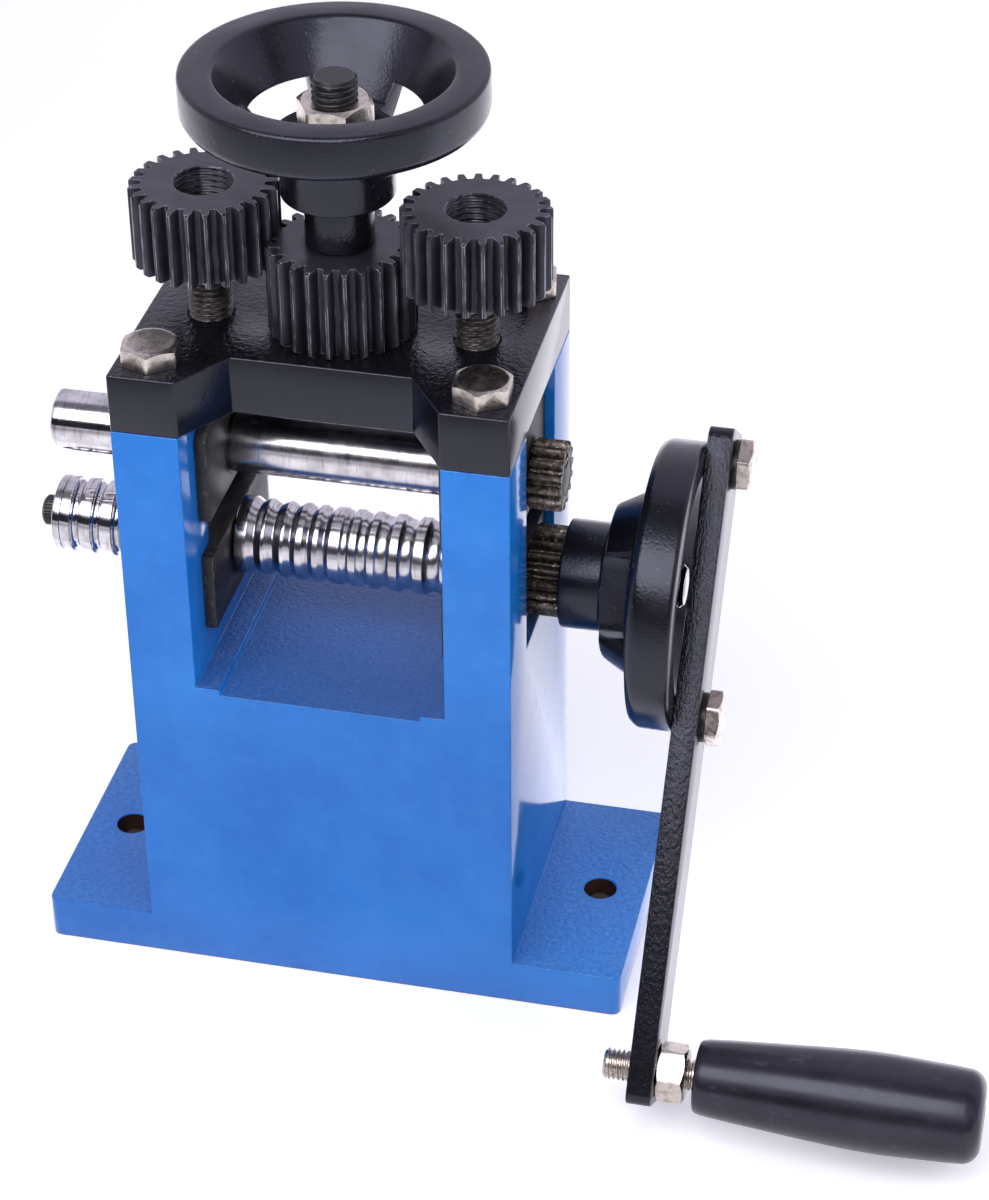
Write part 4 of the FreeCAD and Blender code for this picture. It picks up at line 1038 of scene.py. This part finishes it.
def wheelShape(size, windows, cup=None):
    return machined(turned(wheelProfile(size, cup), 144, True), windowCutters(size, windows), size["edge"], 2, 42)


makePiece("handWheel", wheelShape(wheel, handWindows), satinBlack, "adjuster", "hand_wheel", "z",
          (0, 0, low("hand_wheel", "z")), smooth=40)
makePiece("crankWheel", wheelShape(wheel, crankWindows, crankCup), satinBlack, "drive", "crank_wheel",
          "x", (low("crank_wheel", "x"), 0, rollAxis), smooth=40)

wheelNut = {"across": 21.0, "height": 12.0, "bore": 5.9, "depth": 1.1, "lead": 2.0}
makePiece("handWheelNut", skin(hexNut(wheelNut), True), nickel, "adjuster", "hand_wheel_nut", "z",
          (0, 0, nutSeat), smooth=24)
makePiece("crankNut", skin(hexNut(wheelNut), True), nickel, "drive", "crank_nut", "x",
          (low("crank_nut", "x"), 0, rollAxis), smooth=24)
print("wheels made")


# ---- crank arm, leaning forward, with its two bolts

arm = {"angle": armAngle, "width": 27.0, "shortEnd": 51.0, "throw": 153.0, "margin": 10.5, "corner": 4.0,
       "edge": 0.5, "circle": 40.4}
armBolt = {"across": 16.0, "head": 4.8, "dish": 0.16, "shank": 4.95, "length": 19.9, "turns": {-1: -6, 1: 33.5}}
armWasher = {"radius": 8.0, "bore": 5.25, "edge": 0.35}
armFace = high("crank_arm", "x")
rimPlane = low("crank_arm", "x")


# a place on the crank's plane: along the arm towards the grip, and across it
def onCrank(along, across=0.0):
    y = -along * math.sin(arm["angle"]) + across * math.cos(arm["angle"])
    z = -along * math.cos(arm["angle"]) - across * math.sin(arm["angle"])
    return y, rollAxis + z


def armShape(size):
    outline = []
    ends = (-size["shortEnd"], size["throw"] + size["margin"])
    half, corner = size["width"] / 2, size["corner"]
    for along, across, first in ((ends[1], half, 0), (ends[0], half, 90), (ends[0], -half, 180), (ends[1], -half, 270)):
        centre = (along - math.copysign(corner, along), across - math.copysign(corner, across))
        for step in range(5):
            angle = math.radians(first + 90 * step / 4)
            outline.append(onCrank(centre[0] + corner * math.cos(angle), centre[1] + corner * math.sin(angle)))
    return machined(extruded(outline, rimPlane, armFace, "x"), [], size["edge"], 2)


def armBolts(size):
    shape = bmesh.new()
    for side, turn in size["turns"].items():
        bolt = boltShape(size, turn)
        y, z = onCrank(side * arm["circle"])
        bolt.transform(Matrix.Translation(Vector((high("crank_arm_washers", "x"), y, z)) * mm) @ layOn["x"])
        addShape(shape, bolt)
    return shape


def armWashers(size):
    shape = bmesh.new()
    left, right = low("crank_arm_washers", "x"), high("crank_arm_washers", "x")
    for side in armBolt["turns"]:
        y, z = onCrank(side * arm["circle"])
        ringPiece = turned([(left, size["bore"], 0.2), (left, size["radius"], 0.2),
                            (right, size["radius"], size["edge"]), (right, size["bore"], 0.2)], 64, True)
        ringPiece.transform(Matrix.Translation(Vector((0, y, z)) * mm) @ layOn["x"])
        addShape(shape, ringPiece)
    return shape


makePiece("crankArm", armShape(arm), barBlack, "drive", "crank_arm", smooth=40)
makePiece("armBolts", armBolts(armBolt), nickel, "drive", "crank_arm_bolts", smooth=24)
makePiece("armWashers", armWashers(armWasher), screwSteel, "drive", "crank_arm_washers", smooth=30)
print("crank arm made")


# ---- grip: stud, nut and the moulded sleeve that turns on it

stud = {"radius": 5.0, "spindle": 4.0, "lead": 1.5, "depth": 0.85, "ringGroove": 1.0, "count": 72}
gripNut = {"across": 17.0, "height": 9.0, "bore": 4.2, "depth": 0.8, "lead": 1.5}
grip = {"line": ((0, 11.8), (18.1, 13.4), (52.5, 15.75), (76.0, 15.3), (84.5, 14.9)), "capLength": 6.0, "bore": 4.05}
gripY, gripZ = onCrank(arm["throw"])


# a smooth curve through points, as a spring rule would lie
def smoothLine(points, steps=8):
    ends = [points[0]] + list(points) + [points[-1]]
    curve = []
    for a, b, c, d in zip(ends, ends[1:], ends[2:], ends[3:]):
        for step in range(steps):
            t = step / steps
            curve.append(tuple(0.5 * (2 * q + (r - p) * t + (2 * p - 5 * q + 4 * r - s) * t * t
                                      + (3 * q - p - 3 * r + s) * t ** 3) for p, q, r, s in zip(a, b, c, d)))
    return curve + [points[-1]]


def studShape(size):
    left, right = low("grip_stud", "x"), high("grip_stud", "x")
    shoulder = low("grip", "x") - 0.3
    radius, spindle, count = size["radius"], size["spindle"], size["count"]
    waist = spindle - size["ringGroove"]
    rings = stacked([(left, 0), (left, radius - 1.0), (left + 0.8, radius - 0.5)], count)
    rings += threadRings(radius, size["depth"], size["lead"], left + 0.8, shoulder - 0.4, count)
    return skin(rings + stacked([(shoulder - 0.3, radius), (shoulder, radius), (shoulder, spindle),
                                 (right - 3, spindle), (right - 3, waist), (right - 2, waist), (right - 2, spindle),
                                 (right, spindle), (right, 0)], count))


def gripShape(size):
    left, right = low("grip", "x"), high("grip", "x")
    length, bore, cap, collarRadius = right - left, size["bore"], size["capLength"], size["line"][0][1]
    endAlong, endRadius = size["line"][-1]
    line = [(2.0, bore), (0.0, bore + 1.2), (0.0, collarRadius - 1.8), (0.25, collarRadius - 0.8),
            (1.0, collarRadius - 0.15)]
    line += [spot for spot in smoothLine(size["line"]) if spot[0] > 2]
    for step in range(1, 9):
        angle = math.radians(90 * step / 8)
        line.append((endAlong + cap * math.sin(angle), endRadius - cap + cap * math.cos(angle)))
    line += [(length, 5.0), (length - 0.4, 4.0), (length - 0.4, 0), (length - 12, 0), (length - 12, bore + 1.7),
             (length - 16, bore + 1.7), (length - 16, bore)]
    return skin(stacked([(left + along, radius) for along, radius in line], roundCount), True)


makePiece("gripStud", studShape(stud), nickel, "drive", "grip_stud", "x", (0, gripY, gripZ), smooth=40)
makePiece("gripNut", skin(hexNut(gripNut), True), nickel, "drive", "grip_nut", "x",
          (armFace, gripY, gripZ), turn=math.radians(8), smooth=24)
makePiece("crankGrip", gripShape(grip), gripPlastic, "grip", "grip", "x", (0, gripY, gripZ), smooth=40)
print("grip made")


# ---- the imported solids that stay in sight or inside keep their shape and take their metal

keptNodes = {"top_plate_bush": bronze, "lower_bushes": bronze, "upper_bushes": bronze, "lift_springs": keySteel,
             "lower_shaft_keys": keySteel, "sleeve_key": keySteel, "upper_pinion_key": keySteel,
             "adjuster_keys": keySteel, "screw_pin_left": keySteel, "screw_pin_right": keySteel,
             "grip_retaining_ring": keySteel}
for node, metal in keptNodes.items():
    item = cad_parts[node]
    item.data.materials.clear()
    item.data.materials.append(metal)


# ---- floor, world, lamps and camera

# a lamp: its place and size in metres, its power in watts and whether gloss shows it
studio = {"floorLift": 0.34, "farShine": (0.27, 0.17), "nearShine": 0.4, "backShine": 0.42, "ambient": 0.3,
          "white": 1.0, "room": 0.95,
          "lamps": {"keySoftbox": ((-0.07, -0.45, 0.64), (0.8, 0.42), 4.2, True),
                    "rightSoftbox": ((1.15, -0.25, 0.9), (0.7, 0.9), 5.4, False),
                    "backSoftbox": ((0.1, 1.1, 1.0), (1.2, 0.7), 6.4, False)}}


def paleFloor():
    material, tree, shader, place = startMaterial("paleStudioTable", {"Roughness": 0.9, "Specular IOR Level": 0.1})
    tint = blendColour(tree, patches(tree, place, (0.3, 0.7), 180, 2), "f4f3f6", "f8f7fa")
    tree.links.new(tint, shader.inputs["Base Color"])
    seen = addNode(tree, "ShaderNodeLightPath")
    depth = part(tree, place, "y")
    behind = combine(tree, "ADD", depth, spread(tree, part(tree, place, "x"), 100, 112, 0, 50))
    # painted reflection: the table glows for gloss rays only, bright in front of the machine and behind it, dimmer far
    # off
    shine = combine(tree, "ADD", spread(tree, depth, -180, -120, *studio["farShine"]),
                    combine(tree, "ADD", spread(tree, depth, -92, -70, 0, studio["nearShine"]),
                            spread(tree, behind, -30, 40, 0, studio["backShine"])))
    shows = combine(tree, "ADD", combine(tree, "MULTIPLY", seen.outputs["Is Camera Ray"], studio["floorLift"]),
                    combine(tree, "MULTIPLY", seen.outputs["Is Glossy Ray"], shine))
    lift = addNode(tree, "ShaderNodeEmission", {"Color": toLinear("f2f0ff")}, {"Strength": shows})
    both = addNode(tree, "ShaderNodeAddShader", {}, {0: shader.outputs[0], 1: lift.outputs[0]})
    output = [node for node in tree.nodes if node.bl_idname == "ShaderNodeOutputMaterial"][0]
    tree.links.new(both.outputs[0], output.inputs["Surface"])
    return material


def buildWorld():
    world = bpy.data.worlds.new("whiteStudio")
    world.use_nodes = True
    bpy.context.scene.world = world
    tree = world.node_tree
    tree.nodes.clear()
    way = addNode(tree, "ShaderNodeTexCoord").outputs["Generated"]
    across, up = part(tree, way, "y"), part(tree, way, "z")
    # reflections see a white room with a dark strip low behind the camera and a gap right overhead
    front = spread(tree, across, -0.55, -0.25, 1, 0)
    strip = combine(tree, "MULTIPLY", spread(tree, up, 0.0, 0.06), spread(tree, up, 0.46, 0.38))
    strip = combine(tree, "MULTIPLY", strip, front)
    lean = combine(tree, "DIVIDE", across, combine(tree, "MAXIMUM", up, 0.05))
    gap = combine(tree, "MULTIPLY", spread(tree, lean, -0.34, -0.2), spread(tree, lean, 0.34, 0.1))
    dark = combine(tree, "MAXIMUM", strip, combine(tree, "MULTIPLY", gap, 0.75))
    seen = addNode(tree, "ShaderNodeLightPath")
    bright = combine(tree, "SUBTRACT", 1.0, combine(tree, "MULTIPLY", dark, 0.96))
    mirror = combine(tree, "MULTIPLY", studio["room"], bright)
    camera, glossy = seen.outputs["Is Camera Ray"], seen.outputs["Is Glossy Ray"]
    plain = combine(tree, "MAXIMUM", camera, seen.outputs["Is Transmission Ray"])
    rest = combine(tree, "SUBTRACT", 1.0, combine(tree, "MAXIMUM", plain, glossy))
    strength = combine(tree, "ADD", combine(tree, "MULTIPLY", plain, studio["white"]),
                       combine(tree, "ADD", combine(tree, "MULTIPLY", glossy, mirror),
                               combine(tree, "MULTIPLY", rest, studio["ambient"])))
    tint = blendColour(tree, glossy, "fefdff", "eeeafd")
    light = addNode(tree, "ShaderNodeBackground", {}, {"Color": tint, "Strength": strength})
    addNode(tree, "ShaderNodeOutputWorld", {}, {"Surface": light.outputs[0]})


def addLamps():
    for name, (spot, size, power, shows) in studio["lamps"].items():
        data = bpy.data.lights.new(name, "AREA")
        data.shape = "RECTANGLE"
        data.size, data.size_y = size
        data.energy = power
        lamp = bpy.data.objects.new(name, data)
        lamp.visible_camera = False
        lamp.visible_glossy = shows
        lamp.location = spot
        aim = Vector((0.03, 0, 0.14)) - Vector(spot)
        lamp.rotation_euler = aim.to_track_quat("-Z", "Y").to_euler()
        bpy.context.scene.collection.objects.link(lamp)


def addFloor():
    shape = bmesh.new()
    bmesh.ops.create_grid(shape, x_segments=2, y_segments=2, size=3)
    floor = looseObject(shape, "studioTable")
    floor.data.materials.append(paleFloor())


def addCamera():
    view = {"spot": (0.242817, -0.851007, 0.741908), "turn": (55.0047, 0.3820, 12.6745), "lens": 98.823}
    data = bpy.data.cameras.new("camera")
    data.lens = view["lens"]
    data.sensor_width = 36
    data.sensor_fit = "AUTO"
    data.clip_start = 0.01
    camera = bpy.data.objects.new("camera", data)
    camera.location = view["spot"]
    camera.rotation_euler = [math.radians(angle) for angle in view["turn"]]
    bpy.context.scene.collection.objects.link(camera)
    bpy.context.scene.camera = camera


addFloor()
buildWorld()
addLamps()
addCamera()
bpy.context.scene.view_settings.view_transform = "Standard"
print("studio ready")
